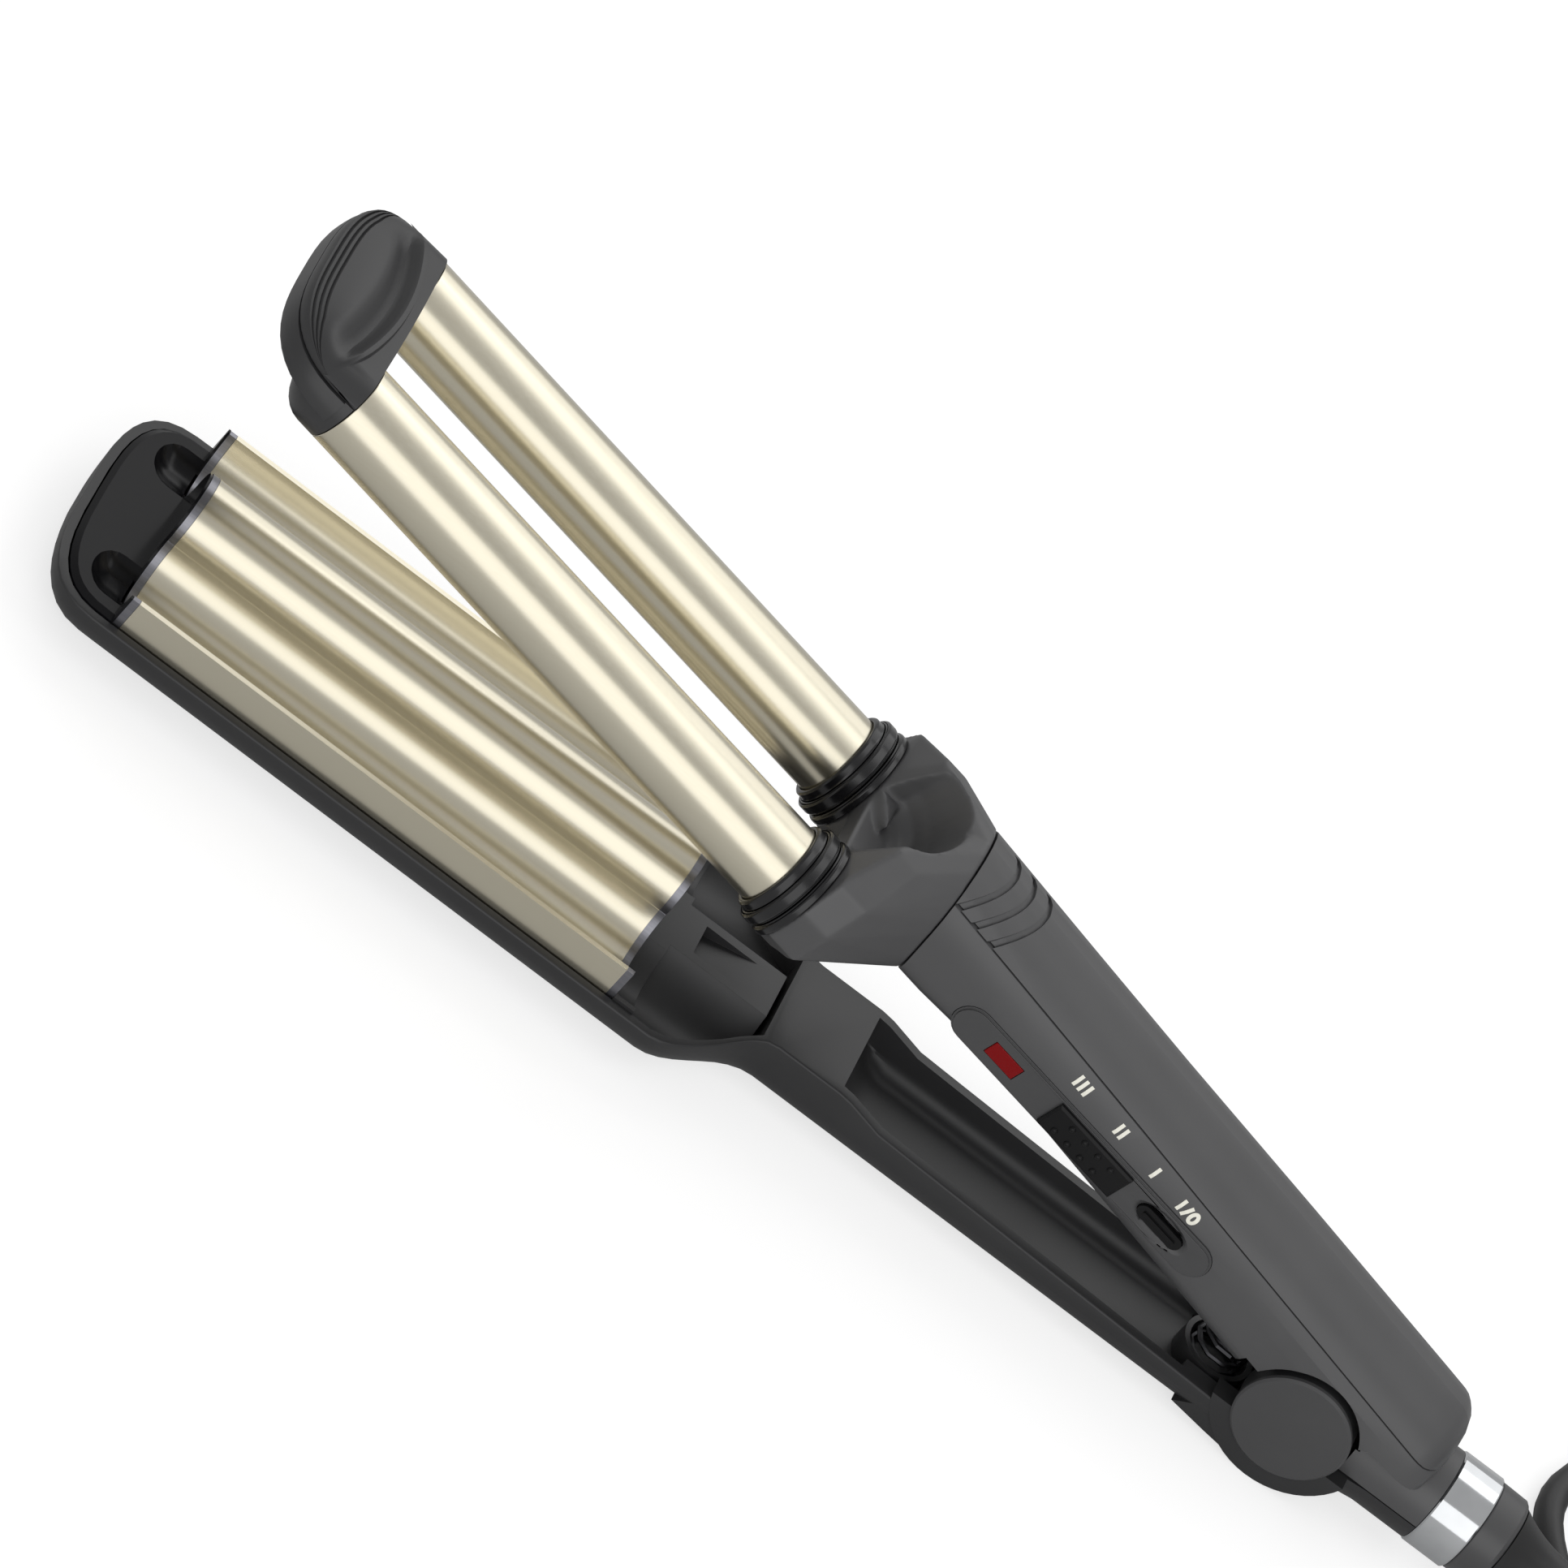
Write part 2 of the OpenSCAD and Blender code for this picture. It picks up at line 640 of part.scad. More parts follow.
// Relief on the dome, r ahead of the lip: a pad that dips into a crescent scoop, the lip that
// the scoop curls up into, and a step down to the deck. It fades out towards the ends.
function lid_relief(r, y) =
    let(fade = 1 - smooth((abs(y) - 17) / 8))
    fade * (-2.1 * smooth((9 - r) / 6.5) * smooth((r - 0.3) / 2) + 0.7 * smooth((2 - r) / 2)
        - 1.2 * smooth((-0.7 - r) / 0.6));

groove_at = [1.1, 2.2, 3.3];     // grooves behind the front edge
pad_r = [9, 7.4, 5.8, 4.4, 3.2, 2.3, 1.6, 0.9, 0.3, -0.2, -0.7, -1, -1.3];

// Upper edge of the lid's section at y: front edge, grooves, pad, scoop, lip and deck
function lid_edge(y, half) =
    let(front = cap_front(y, half), lip_x = cap_rear - lip_ahead(y),
        k = min(1, (lip_x - front) / 14))
    concat(
        [[front, y, cap_dome(0, y) - 0.6]],
        [for (s = [0.4, 0.8, 1.1, 1.4, 1.9, 2.2, 2.5, 3, 3.3, 3.6, 4.2])
            [front + s * k, y, cap_dome(s * k, y) - (len(search(s, groove_at)) > 0 ? 0.45 : 0)]],
        [for (r = pad_r) [lip_x - r * k, y,
            cap_dome(lip_x - r * k - front, y) + lid_relief(r, y)]],
        [[cap_rear, y, cap_dome(cap_len, y) + lid_relief(-9, y)]]);

module tip_cap_lid() {
    // sections from side to side; each runs along the seam, then back over the top
    half = cap_half_at(cap_seam_z + cap_seam_rise - barrel_z + 0.6);
    color("#303031") on_upper() loft([for (i = [-16:16])
        let(y = (half - 0.05) * sin(5.625 * i), front = cap_front(y, half),
            rise = cap_seam_rise * (1 - (cap_rear - front) / cap_len))
        concat([[cap_rear, y, cap_seam_z + cap_seam_rise + seam / 2],
            [front, y, cap_seam_z + rise + seam / 2]], lid_edge(y, half))]);
}

// Outline of the handle at x, in the handle's own slope, with w taken off and moved by -w
// where the rear end rounds off. It deepens towards the head.
function handle_ring(x, w) =
    let(
        u = max(0, (x - handle_rear + 7) / 7),
        k = sqrt(max(0, 1 - 0.86 * u * u)),
        crown = handle_top_z + 1.2 * smooth((x + 90) / 100),
        half = handle_w / 2 * mix(0.78, 1, k) - w,
        top = mix(seam_z - 3, crown, k) - w,
        low = -handle_low - 2 * smooth((head_rear + 24 - x) / 22) + w
    )
    at_x(x - (u > 0 ? w : 0),
        bar(half, low, top, min(7 - w, half / 2), min(half - 0.1, (top - low) * 0.55)));

module handle_solid(x0, x1, w) {
    rounding = [for (u = [0.1, 1.5, 3, 4.4, 5.6, 6.5, 7]) handle_rear - 7 + u];
    last = min(x1, handle_rear - 12);
    stations = [for (d = [-6, -2, 2, 7.5, 13, 18.5, 24, 55, 95]) head_rear + d];
    loft([for (x = concat([x0], [for (x = stations) if (x > x0 + 1 && x < last - 1) x], [last],
        x1 > last ? rounding : [])) handle_ring(x, w)]);
}

// Everything ahead of the leaning joint between the head and the handle shells
module ahead_of_joint(gap) {
    across_y(60) polygon([[-400, -40], [head_rear + 40 * head_lean - gap, -40],
        [head_rear - 60 * head_lean - gap, 60], [-400, 60]]);
}

// The handle's own section along the leaning joint, a thin slice
module joint_face() {
    intersection() {
        handle_solid(head_rear - 12, head_rear + 4, 0);
        difference() {
            ahead_of_joint(seam);
            ahead_of_joint(seam + 1);
        }
    }
}

module fork_head() {
    reach_x = 24;
    drop_y = axis_y - 4;
    climb_z = 7;
    run_xyz = norm([reach_x, drop_y, climb_z]);
    color("#383839") difference() {
        union() {
            for (s = [-1, 1]) hull() {
                on_upper() translate([head_front, s * axis_y, barrel_z]) rotate([22.5, 0, 0])
                    rotate([0, 90, 0]) cylinder(h = 7, r = barrel_r + 2.9, $fn = 8);
                // outer shoulder, and the crest beside the scoop
                on_upper() translate([0, s * (axis_y + 5.5), barrel_z + 11.7])
                    rod_x(head_front + 0.5, head_front + 8, 2.5, $fn = 24);
                on_upper() translate([0, s * (axis_y - 3.5), barrel_z + 19.6])
                    rod_x(head_front + 4.5, head_front + 10, 2, $fn = 24);
                on_handle() joint_face();
            }
            // bridge between the two sockets
            on_upper() box([head_front + 0.3, head_front + 8], [-axis_y + 6, axis_y - 6],
                [barrel_z + 1.5, barrel_z + 7]);
            // spigot inside the handle shells
            on_handle() handle_solid(head_rear - 8, head_rear + 6, shell_t + fit);
        }
        // the underside clears the narrowing neck
        on_upper() across_y(60) polygon([[head_front - 1, -8], [head_front + 4.4, -6.3],
            [head_front + 6.5, -3], [head_front + 12, -2.1], [head_front + 26, 3.6],
            [head_front + 26, -40], [head_front - 1, -40]]);
        on_upper() each_barrel() rod_x(head_front - 1, head_front + socket, barrel_r + fit);
        // scoop between the sockets, open over the bridge, with a block by the far one
        on_upper() difference() {
            loft([for (k = [[7.05, 0.62], [8, 0.8], [10, 0.92], [14, 1], [20, 1.06], [45, 1.25]])
                at_z(barrel_z + k[0], scoop_plan(k[1]))]);
            box([head_front - 2, head_front + 5.5], [2.5, 10], [0, barrel_z + 9.5]);
        }
        // lead ducts from the sockets into the handle
        on_upper() for (s = [-1, 1]) translate([head_front + 4, s * axis_y, barrel_z])
            rotate([0, acos(climb_z / run_xyz), -s * atan2(drop_y, reach_x)])
                cylinder(h = 45, r = 3);
    }
}

// Straight front and round rear; k grows it about the middle of its front edge
function scoop_plan(k) = concat(
    [[head_front - 1, 12 * k], [head_front - 1, -12 * k]],
    [for (i = [1:15]) let(a = 11.25 * i - 90)
        [head_front + 4 * k + 9 * k * cos(a), 12.3 * k * sin(a)]]);

// The tail as the open handle sees it, with room to rest on it
module tail_room() {
    rotate([0, -open_angle - handle_tilt, 0]) translate([0, 0, tail_z]) {
        rod_x(disc_d / 2, tail_rear + 1, tail_d / 2 + seam);
        rod_x(tail_rear - 0.5, ring_rear, tail_d / 2 + 0.3 + seam);
    }
}

module handle_hollow() {
    handle_solid(head_rear - 12, handle_rear - 1, shell_t);
}

screw_x = [-111, -38];
screw_y = 4.5;

module handle_base() {
    color("#414143") on_handle() difference() {
        union() {
            difference() {
                handle_solid(head_rear - 6, handle_rear, 0);
                box([-400, 100], [-60, 60], [seam_z - seam / 2, 80]);
                handle_hollow();
                ahead_of_joint(0);
            }
            // screw bosses, bulkhead and hub
            intersection() {
                handle_solid(head_rear, handle_rear, shell_t - 0.5);
                union() {
                    for (x = screw_x) translate([x, screw_y, -handle_low])
                        cylinder(h = handle_low + seam_z - seam / 2, r = 3.4);
                    box([-32, -29], [-40, 40], [-20, seam_z - seam / 2]);
                    box([-30, 9], [-hub_w / 2, hub_w / 2], [web_z, seam_z - seam / 2]);
                }
            }
            rod_y(-hub_w / 2, hub_w / 2, 9);
        }
        // the skirts end above the tail
        rotate([0, -handle_tilt, 0]) across_y(40)
            polygon([[5, -40], [5, 2], [13, 9.6], [60, 9.6], [60, -40]]);
        for (s = [-1, 1]) scale([1, s, 1]) rod_y(ear_in - 0.1, 40, disc_d / 2 + 1.4);
        // pocket of the spring under the web
        translate([spring_x - 1.4, 0, -20]) cylinder(h = 20 + web_z, r = 7.4);
        // the lower part clears the belly
        intersection() {
            difference() {
                rod_y(-40, 40, hinge_h + 0.6);
                rod_y(-hub_w / 2 - 0.01, hub_w / 2 + 0.01, 9);
            }
            box([-40, 40], [-40, 40], [-40, web_z]);
        }
        tail_room();
        rod_y(-20, 20, pin_d / 2 + 1.6);
        for (x = screw_x) translate([x, screw_y, -handle_low]) {
            translate([0, 0, -1]) cylinder(h = 40, r = 1.5 + fit);
            translate([0, 0, -1]) cylinder(h = 3, r = 3 + fit);
        }
        // hole for the control panel
        rotate([0, -handle_tilt, 0]) panel_prism(fit, -handle_w / 2 - 3, -handle_w / 2 + 7);
    }
}

module handle_top() {
    color("#464647") on_handle() difference() {
        union() {
            difference() {
                handle_solid(head_rear - 9, handle_rear, 0);
                box([-400, 100], [-60, 60], [-80, seam_z + seam / 2]);
                handle_hollow();
                ahead_of_joint(0);
            }
            intersection() {
                handle_solid(head_rear, handle_rear, shell_t - 0.5);
                for (x = screw_x) translate([x, screw_y, seam_z + seam / 2])
                    cylinder(h = 10, r = 3.4);
            }
        }
        tail_room();
        for (x = screw_x) translate([x, screw_y, 0]) cylinder(h = 20, r = 1.5 + fit);
        // three curved grip grooves of even depth near the front
        difference() {
            for (i = [0:2]) translate([head_rear - 18 + 5 * i, 0, 0]) difference() {
                cylinder(h = 40, r = 19);
                translate([0, 0, -1]) cylinder(h = 42, r = 17.6);
                box([-20, 11], [-30, 30], [-2, 42]);
                box([-20, 40], [6, 30], [-2, 42]);
            }
            handle_solid(head_rear - 12, head_rear + 40, 0.7);
        }
    }
}

module handle_screws() {
    color("#6f6f72") on_handle() for (x = screw_x)
        translate([x, screw_y, -handle_low + 0.2]) screw(22);
}

module hinge_bush() {
    color("#c8a860") on_upper() difference() {
        rod_y(-hub_w / 2, hub_w / 2, pin_d / 2 + 1.5);
        rod_y(-20, 20, pin_d / 2 + run);
    }
}

// Capsule outline of the control panel, carried from y0 to y1
module panel_prism(grow, y0, y1) {
    r = panel_h / 2 + grow;
    translate([0, y1, 0]) rotate([90, 0, 0]) linear_extrude(y1 - y0)
        polygon(concat(arc(panel_rear - panel_h / 2, panel_z, r, -90, 90, 12),
            arc(panel_front + panel_h / 2, panel_z, r, 90, 270, 12)));
}

function pill(length, width, n = 8) = concat(
    arc((length - width) / 2, 0, width / 2, -90, 90, n),
    arc(-(length - width) / 2, 0, width / 2, 90, 270, n));

// A block of pill outline from y0 to y1, outer face towards -Y
module pill_y(x, length, width, y0, y1) {
    translate([x, y1, panel_z]) rotate([90, 0, 0]) linear_extrude(y1 - y0)
        polygon(pill(length, width));
}

module control_panel() {
    color("#3b3b3c") on_upper() difference() {
        union() {
            panel_prism(0, -panel_face + 0.4, -panel_back);
            panel_prism(-0.5, -panel_face, -panel_back);
        }
        // slot under the selector, dish and hole of the button, window of the lens
        pill_y(selector_x, 4 + 2 * selector_travel + 0.6, 3.4, -30, 0);
        loft([for (k = [[0.9, 0.72], [0.4, 0.9], [-0.01, 1], [-3, 1]])
            [for (i = [0:23]) let(a = 15 * i)
                [button_x + 7.6 * k[1] * cos(a), -panel_face + k[0],
                    panel_z + 3.7 * k[1] * sin(a)]]]);
        pill_y(button_x, button_len + 2 * fit, button_w + 2 * fit, -30, 0);
        box([lens_x - 4 - fit, lens_x + 4 + fit], [-30, 0],
            [panel_z - 1.9 - fit, panel_z + 1.9 + fit]);
    }
}

module indicator_lens() {
    color("#b3202a") on_upper() {
        box([lens_x - 4, lens_x + 4], [-panel_face - 0.1, -panel_back],
            [panel_z - 1.9, panel_z + 1.9]);
    }
}

module indicator_led() {
    color("#e8e8ee") on_upper() translate([lens_x, 0, panel_z])
        rod_y(-panel_back + 0.2, board_y, 1.5);
}

module circuit_board() {
    color("#2f6b3c") on_handle() box([panel_front + 2, panel_rear - 10], [board_y, board_y + 1.6],
        [-handle_low + shell_t + 0.2, seam_z - 4]);
}

module selector_switch() {
    color("#1b1b1c") on_upper() box([selector_x - 9, selector_x + 9],
        [-panel_back + 0.6, board_y], [panel_z - 3, panel_z + 3]);
}

module power_switch() {
    color("#1b1b1c") on_upper() {
        box([button_x - 3, button_x + 3], [-panel_back + 2.1, board_y],
            [panel_z - 3, panel_z + 3]);
    }
}

module heat_selector() {
    y = -panel_face - run;
    pad = 1.1;
    color("#18181a") on_upper() {
        loft([for (k = [[0, 0], [pad - 0.4, 0], [pad, 0.5]])
            [for (p = [[-1, -1], [1, -1], [1, 1], [-1, 1]])
                [selector_x + p[0] * (selector_len / 2 - k[1]), y - k[0],
                    panel_z + p[1] * (selector_h / 2 - k[1])]]]);
        pill_y(selector_x, 4, 3, y - 0.2, -panel_back + 0.3);
        for (i = [0:3]) for (s = [-1, 1])
            translate([selector_x - 6.2 + 3.8 * i + 0.9 * s, y - pad + 0.2, panel_z + 1.7 * s])
                sphere(r = 0.8, $fn = 16);
    }
}

module power_button() {
    color("#161617") on_upper() {
        pill_y(button_x, button_len, button_w, -panel_face - 0.1, -panel_back + 0.3);
        pill_y(button_x, button_len - 3, 0.7, -panel_face - 0.5, -panel_face - 0.09);
        pill_y(button_x, button_len + 2, button_w + 2, -panel_back + 0.3, -panel_back + 1);
    }
}

// ---- cord ----

// Route of the free stretch: x and y from the hinge axis, z over the table
route = [[86, 0, 13], [93, 0, 13], [106, 0, 12], [119, 0, 8], [130.5, 3, 5], [140.5, 9.5, 3.2],
    [147.5, 19.5, 3.2], [149.5, 31.5, 3.2], [146, 43.5, 3.2], [137.5, 53.5, 3.2],
    [125.5, 59.5, 3.2], [111.5, 62, 3.2], [97, 62, 3.2], [82, 60, 3.2], [69, 54, 3.2],
    [61, 43, 3.2], [59, 30, 3.2], [64, 18, 3.2], [74, 8, 3.2], [87, 0, 3.2], [101, -6, 3.2],
    [116, -11.5, 3.2], [132, -16.5, 3.2], [148, -21, 3.2], [163, -23.6, 3.6],
    [178, -24, 4], [191, -24, 4]];
coil_c = [198, 19];
coil_r = 43;           // radius of the outermost turn
coil_step = 7.7;       // from turn to turn and from layer to layer
coil_turns = 6;
coil_z = 4;

module cord_place() {
    translate([hinge_x + relief_end - 86, 0, 0]) children();
}

function unit(v) = v / norm(v);

// Ring of n points around p, square to the heading d
function ring_at(p, d, r, n) =
    let(side = unit(cross([0, 0, 1], d)), up = cross(d, side))
    [for (k = [0:n - 1]) let(a = 360 * k / n) p + r * (cos(a) * side + sin(a) * up)];

function heading(path, i) = let(m = len(path) - 1)
    unit(path[min(m, i + 1)] - path[max(0, i - 1)]);

module tube(path, r, n) {
    loft([for (i = [0:len(path) - 1])
        let(d = i == 0 || i == len(path) - 1 ? [1, 0, 0] : heading(path, i))
        ring_at(path[i], d, r, n)]);
}

module mains_cord() {
    color("#151516") cord_place() tube(route, cord_r, 8);
}

// The coil spirals in on the table, climbs a layer in the half turn where it turns back,
// and spirals out again on top. t counts turns.
function coil_at(t) =
    let(
        inward = min(t, coil_turns - t),
        r = coil_r - coil_step * min(inward, coil_turns / 2 - 0.25),
        z = coil_z + coil_step * min(1, max(0, t - coil_turns / 2 + 0.25) * 2),
        a = -90 + 360 * t
    )
    [coil_c[0] + r * cos(a), coil_c[1] + r * sin(a), z];

coil_path = concat(
    [[coil_c[0] - cord_d - 0.6, coil_c[1] - coil_r, coil_z],
        [coil_c[0] - 0.6 * cord_d, coil_c[1] - coil_r, coil_z]],
    [for (i = [0:24 * coil_turns]) coil_at(i / 24)],
    [[coil_c[0] + 9, coil_c[1] - coil_r, coil_z + coil_step - 0.6],
        [coil_c[0] + 18, coil_c[1] - coil_r, coil_z + coil_step - 2.8],
        [coil_c[0] + 24, coil_c[1] - coil_r, plug_h],
        [coil_c[0] + 24 + cord_d, coil_c[1] - coil_r, plug_h]]);

// Least distance between points of the coil that are half a turn or more apart
coil_gap = min([for (i = [2:len(coil_path) - 14]) for (j = [i + 12:len(coil_path) - 5])
    norm(coil_path[i] - coil_path[j])]) - cord_d;
echo(coil_gap = coil_gap);

module cord_coil() {
    color("#151516") cord_place() tube(coil_path, cord_r, 6);
}

module cord_tie() {
    // hook-and-loop strap around all turns, on the far side of the coil
    inner = coil_r - coil_step * (coil_turns - 1) / 2 - cord_r - 1.3;
    outer = coil_r - coil_step / 2 + cord_r + 0.3;
    high = coil_z + coil_step + 0.87 * cord_r + 0.25;
    low = coil_z - 0.87 * cord_r - 0.2;
    color("#2c2c2e") cord_place() translate([coil_c[0], coil_c[1], 0]) rotate(90)
        translate([0, 6, 0]) rotate([90, 0, 0]) linear_extrude(12) difference() {
            translate([inner - 1, 0]) square([outer - inner + 2, high + 1]);
            polygon([for (p = bar((outer - inner) / 2, low, high, 2.5, 2.5))
                [p[0] + (inner + outer) / 2, p[1]]]);
        }
}

plug_x = coil_c[0] + 24 + cord_d;
plug_y = coil_c[1] - coil_r;

module plug_body() {
    color("#1a1a1b") cord_place() translate([plug_x, plug_y, plug_h]) {
        loft([for (k = [[0, 4.6, 4.6], [4, 5.2, 5], [9, 7, 5.6], [14, 11, 6.4], [19, 15.4, 6.8],
                [25, 17.4, 6.8], [33, 17.6, 6.8], [34.4, 17, 6.3]])
            at_x(k[0], bar(k[1], -k[2], k[2], min(k[1], k[2]) * 0.75, min(k[1], k[2]) * 0.75))]);
    }
}

module plug_pins() {
    color("#c8cacc") cord_place() for (s = [-1, 1])
        translate([plug_x + 34.4, plug_y + 9.5 * s, plug_h]) rotate([0, 90, 0]) {
            cylinder(h = 17.6, r = 2);
            translate([0, 0, 17.6]) cylinder(h = 1.4, r1 = 2, r2 = 1.1);
        }
}

lower_shell();
nose_liner();
wave_plate();
plate_end_strips();
neck_liner();
plate_heaters();
heater_carrier();
thermal_fuse();
jaw_screws();
tail_cover();
chrome_ring();
tail_collar();
hinge_pin();
hinge_covers();
spring_cup();
arm_spring();
cord_sleeve();
near_barrel();
far_barrel();
heater_clamps();
barrel_heaters();
barrel_collars();
tip_cap_base();
tip_cap_lid();
fork_head();
handle_base();
handle_top();
handle_screws();
hinge_bush();
control_panel();
indicator_lens();
indicator_led();
circuit_board();
selector_switch();
power_switch();
heat_selector();
power_button();
mains_cord();
cord_coil();
cord_tie();
plug_body();
plug_pins();
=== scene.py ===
import json
import math

import bpy
import numpy as np
from mathutils import Matrix, Vector


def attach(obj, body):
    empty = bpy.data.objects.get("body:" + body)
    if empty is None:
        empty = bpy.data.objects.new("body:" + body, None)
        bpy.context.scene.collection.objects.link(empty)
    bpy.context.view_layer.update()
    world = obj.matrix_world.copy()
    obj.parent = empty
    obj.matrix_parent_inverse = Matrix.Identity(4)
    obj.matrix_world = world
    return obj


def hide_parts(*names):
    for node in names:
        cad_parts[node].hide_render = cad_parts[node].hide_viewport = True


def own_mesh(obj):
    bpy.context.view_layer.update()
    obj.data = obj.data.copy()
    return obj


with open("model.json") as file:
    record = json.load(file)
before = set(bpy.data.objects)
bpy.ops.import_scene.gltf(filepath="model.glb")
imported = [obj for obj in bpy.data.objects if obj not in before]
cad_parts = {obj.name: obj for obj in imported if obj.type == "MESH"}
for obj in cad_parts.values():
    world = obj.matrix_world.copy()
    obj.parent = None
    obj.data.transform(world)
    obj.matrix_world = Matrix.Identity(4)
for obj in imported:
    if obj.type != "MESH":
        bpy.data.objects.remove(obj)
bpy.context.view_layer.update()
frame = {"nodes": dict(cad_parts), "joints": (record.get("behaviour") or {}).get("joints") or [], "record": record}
nodes = frame["nodes"]

# Deep-wave hair crimper: two heated barrels over a W-shaped plate, a handle with its
# controls, and a swivel cord. Sizes are metres in the CAD frame unless a name says mm.

MM = 0.001
arm_hinge = next(j for j in frame["joints"] if j["name"] == "arm_hinge")
HINGE = np.array(arm_hinge["pos_m"])
OPEN = -math.radians(arm_hinge["range_deg"][0])     # angle between the arms at rest
HANDLE_TILT = math.radians(3.7)                     # slope of the handle on the upper arm


def on_lower(points_mm):
    """Points in millimetres from the hinge axis, as points in the frame."""
    return np.asarray(points_mm, float) * MM + HINGE


def on_upper(points_mm):
    """Points on the closed upper arm, in millimetres from the hinge axis, swung open:
    turned about the hinge axis by the angle between the arms."""
    p = np.asarray(points_mm, float)
    c, s = math.cos(OPEN), math.sin(OPEN)
    x, y, z = p[..., 0], p[..., 1], p[..., 2]
    return on_lower(np.stack([c * x + s * z, y, c * z - s * x], axis=-1))


def on_handle(points_mm):
    """Points in the handle's own slope, in millimetres from the hinge axis: turned by
    that slope first, then swung open with the arm."""
    p = np.asarray(points_mm, float)
    c, s = math.cos(HANDLE_TILT), math.sin(HANDLE_TILT)
    x, y, z = p[..., 0], p[..., 1], p[..., 2]
    return on_upper(np.stack([c * x + s * z, y, c * z - s * x], axis=-1))


bpy.context.scene.view_settings.view_transform = "Standard"

# ---- camera ----

IMAGE_PX = 1932                 # side of the square render
PX_PER_MM = 6.231               # scale at the hinge
HINGE_PX = (1617, 1704.7)       # where the hinge axis lies in the render
RIGHT = Vector((0.7921, 0.2986, 0.5320)).normalized()      # the render's own axes
DOWN = Vector((0.5969, -0.5616, -0.5740))
CAMERA_DISTANCE = 4.0
SENSOR_MM = 36
NEAR, FAR = 0.1, 100


def make_camera():
    """A long lens square to the image plane, whose middle is set by the hinge's pixel."""
    back = RIGHT.cross(-DOWN).normalized()
    up = back.cross(RIGHT).normalized()
    across = (IMAGE_PX / 2 - HINGE_PX[0]) / PX_PER_MM * MM
    down = (IMAGE_PX / 2 - HINGE_PX[1]) / PX_PER_MM * MM
    middle = Vector(HINGE) + RIGHT * across - up * down
    data = bpy.data.cameras.new("camera")
    data.sensor_width = SENSOR_MM
    data.lens = SENSOR_MM * CAMERA_DISTANCE / (IMAGE_PX / PX_PER_MM * MM)
    data.clip_start, data.clip_end = NEAR, FAR
    camera = bpy.data.objects.new("camera", data)
    bpy.context.scene.collection.objects.link(camera)
    turn = Matrix((RIGHT, up, back)).transposed().to_4x4()
    camera.matrix_world = Matrix.Translation(middle + back * CAMERA_DISTANCE) @ turn
    bpy.context.scene.camera = camera


make_camera()


# ---- cord ----

CORD_D = 0.0064
# Free stretch, from the hinge axis in x and y and over the table in z
ROUTE = np.array([
    (0.086, 0, 0.013), (0.093, 0, 0.013), (0.106, 0, 0.012), (0.119, 0, 0.008),
    (0.1305, 0.003, 0.005), (0.1405, 0.0095, 0.0032), (0.1475, 0.0195, 0.0032),
    (0.1495, 0.0315, 0.0032), (0.146, 0.0435, 0.0032), (0.1375, 0.0535, 0.0032),
    (0.1255, 0.0595, 0.0032), (0.1115, 0.062, 0.0032), (0.097, 0.062, 0.0032),
    (0.082, 0.060, 0.0032), (0.069, 0.054, 0.0032), (0.061, 0.043, 0.0032),
    (0.059, 0.030, 0.0032), (0.064, 0.018, 0.0032), (0.074, 0.008, 0.0032),
    (0.087, 0, 0.0032), (0.101, -0.006, 0.0032), (0.116, -0.0115, 0.0032),
    (0.132, -0.0165, 0.0032), (0.148, -0.021, 0.0032), (0.163, -0.0236, 0.0036),
    (0.178, -0.024, 0.0040), (0.191, -0.024, 0.0040)])
COIL_C = (0.198, 0.019)         # middle of the coil, from the hinge axis
COIL_R = 0.043                  # its outer turn's centreline
COIL_STEP = 0.0077              # from turn to turn, and from layer to layer
COIL_TURNS = 6
COIL_CLIMB = 0.25               # turns on each side of the middle spent on the climb
COIL_Z = 0.004
COIL_POINTS = 24                # to a turn
PLUG_X = 0.024                  # where the cord enters the plug, from the coil's middle
PLUG_Z = 0.007
LINE_STEPS = 3                  # points to each span of the finished line
CORD_ROUNDNESS = 4              # Blender's steps in a quarter of the cord's outline


def coil_at(t):
    """The coil's centreline after t turns: its radius shrinks by a step to a turn up to the
    middle, where it climbs a step, and grows again at the same rate on top."""
    inward = np.minimum(t, COIL_TURNS - t)
    r = COIL_R - COIL_STEP * np.minimum(inward, COIL_TURNS / 2 - COIL_CLIMB)
    climbed = (t - COIL_TURNS / 2 + COIL_CLIMB) / (2 * COIL_CLIMB)
    z = COIL_Z + COIL_STEP * np.clip(climbed, 0, 1)
    a = 2 * np.pi * t - np.pi / 2
    return np.stack([COIL_C[0] + r * np.cos(a), COIL_C[1] + r * np.sin(a), z], axis=-1)


def rounded(points, steps):
    """A smooth line through the points: each span is a cubic that leaves and reaches its
    ends parallel to the line between the neighbours (Catmull-Rom)."""
    p = np.vstack([2 * points[0] - points[1], points, 2 * points[-1] - points[-2]])
    t = (np.arange(steps) / steps)[None, :, None]
    a, b, c, d = (p[i:len(p) - 3 + i, None, :] for i in range(4))
    span = 0.5 * (2 * b + (c - a) * t + (2 * a - 5 * b + 4 * c - d) * t ** 2
                  + (3 * b - a - 3 * c + d) * t ** 3)
    return np.vstack([span.reshape(-1, 3), points[-1:]])


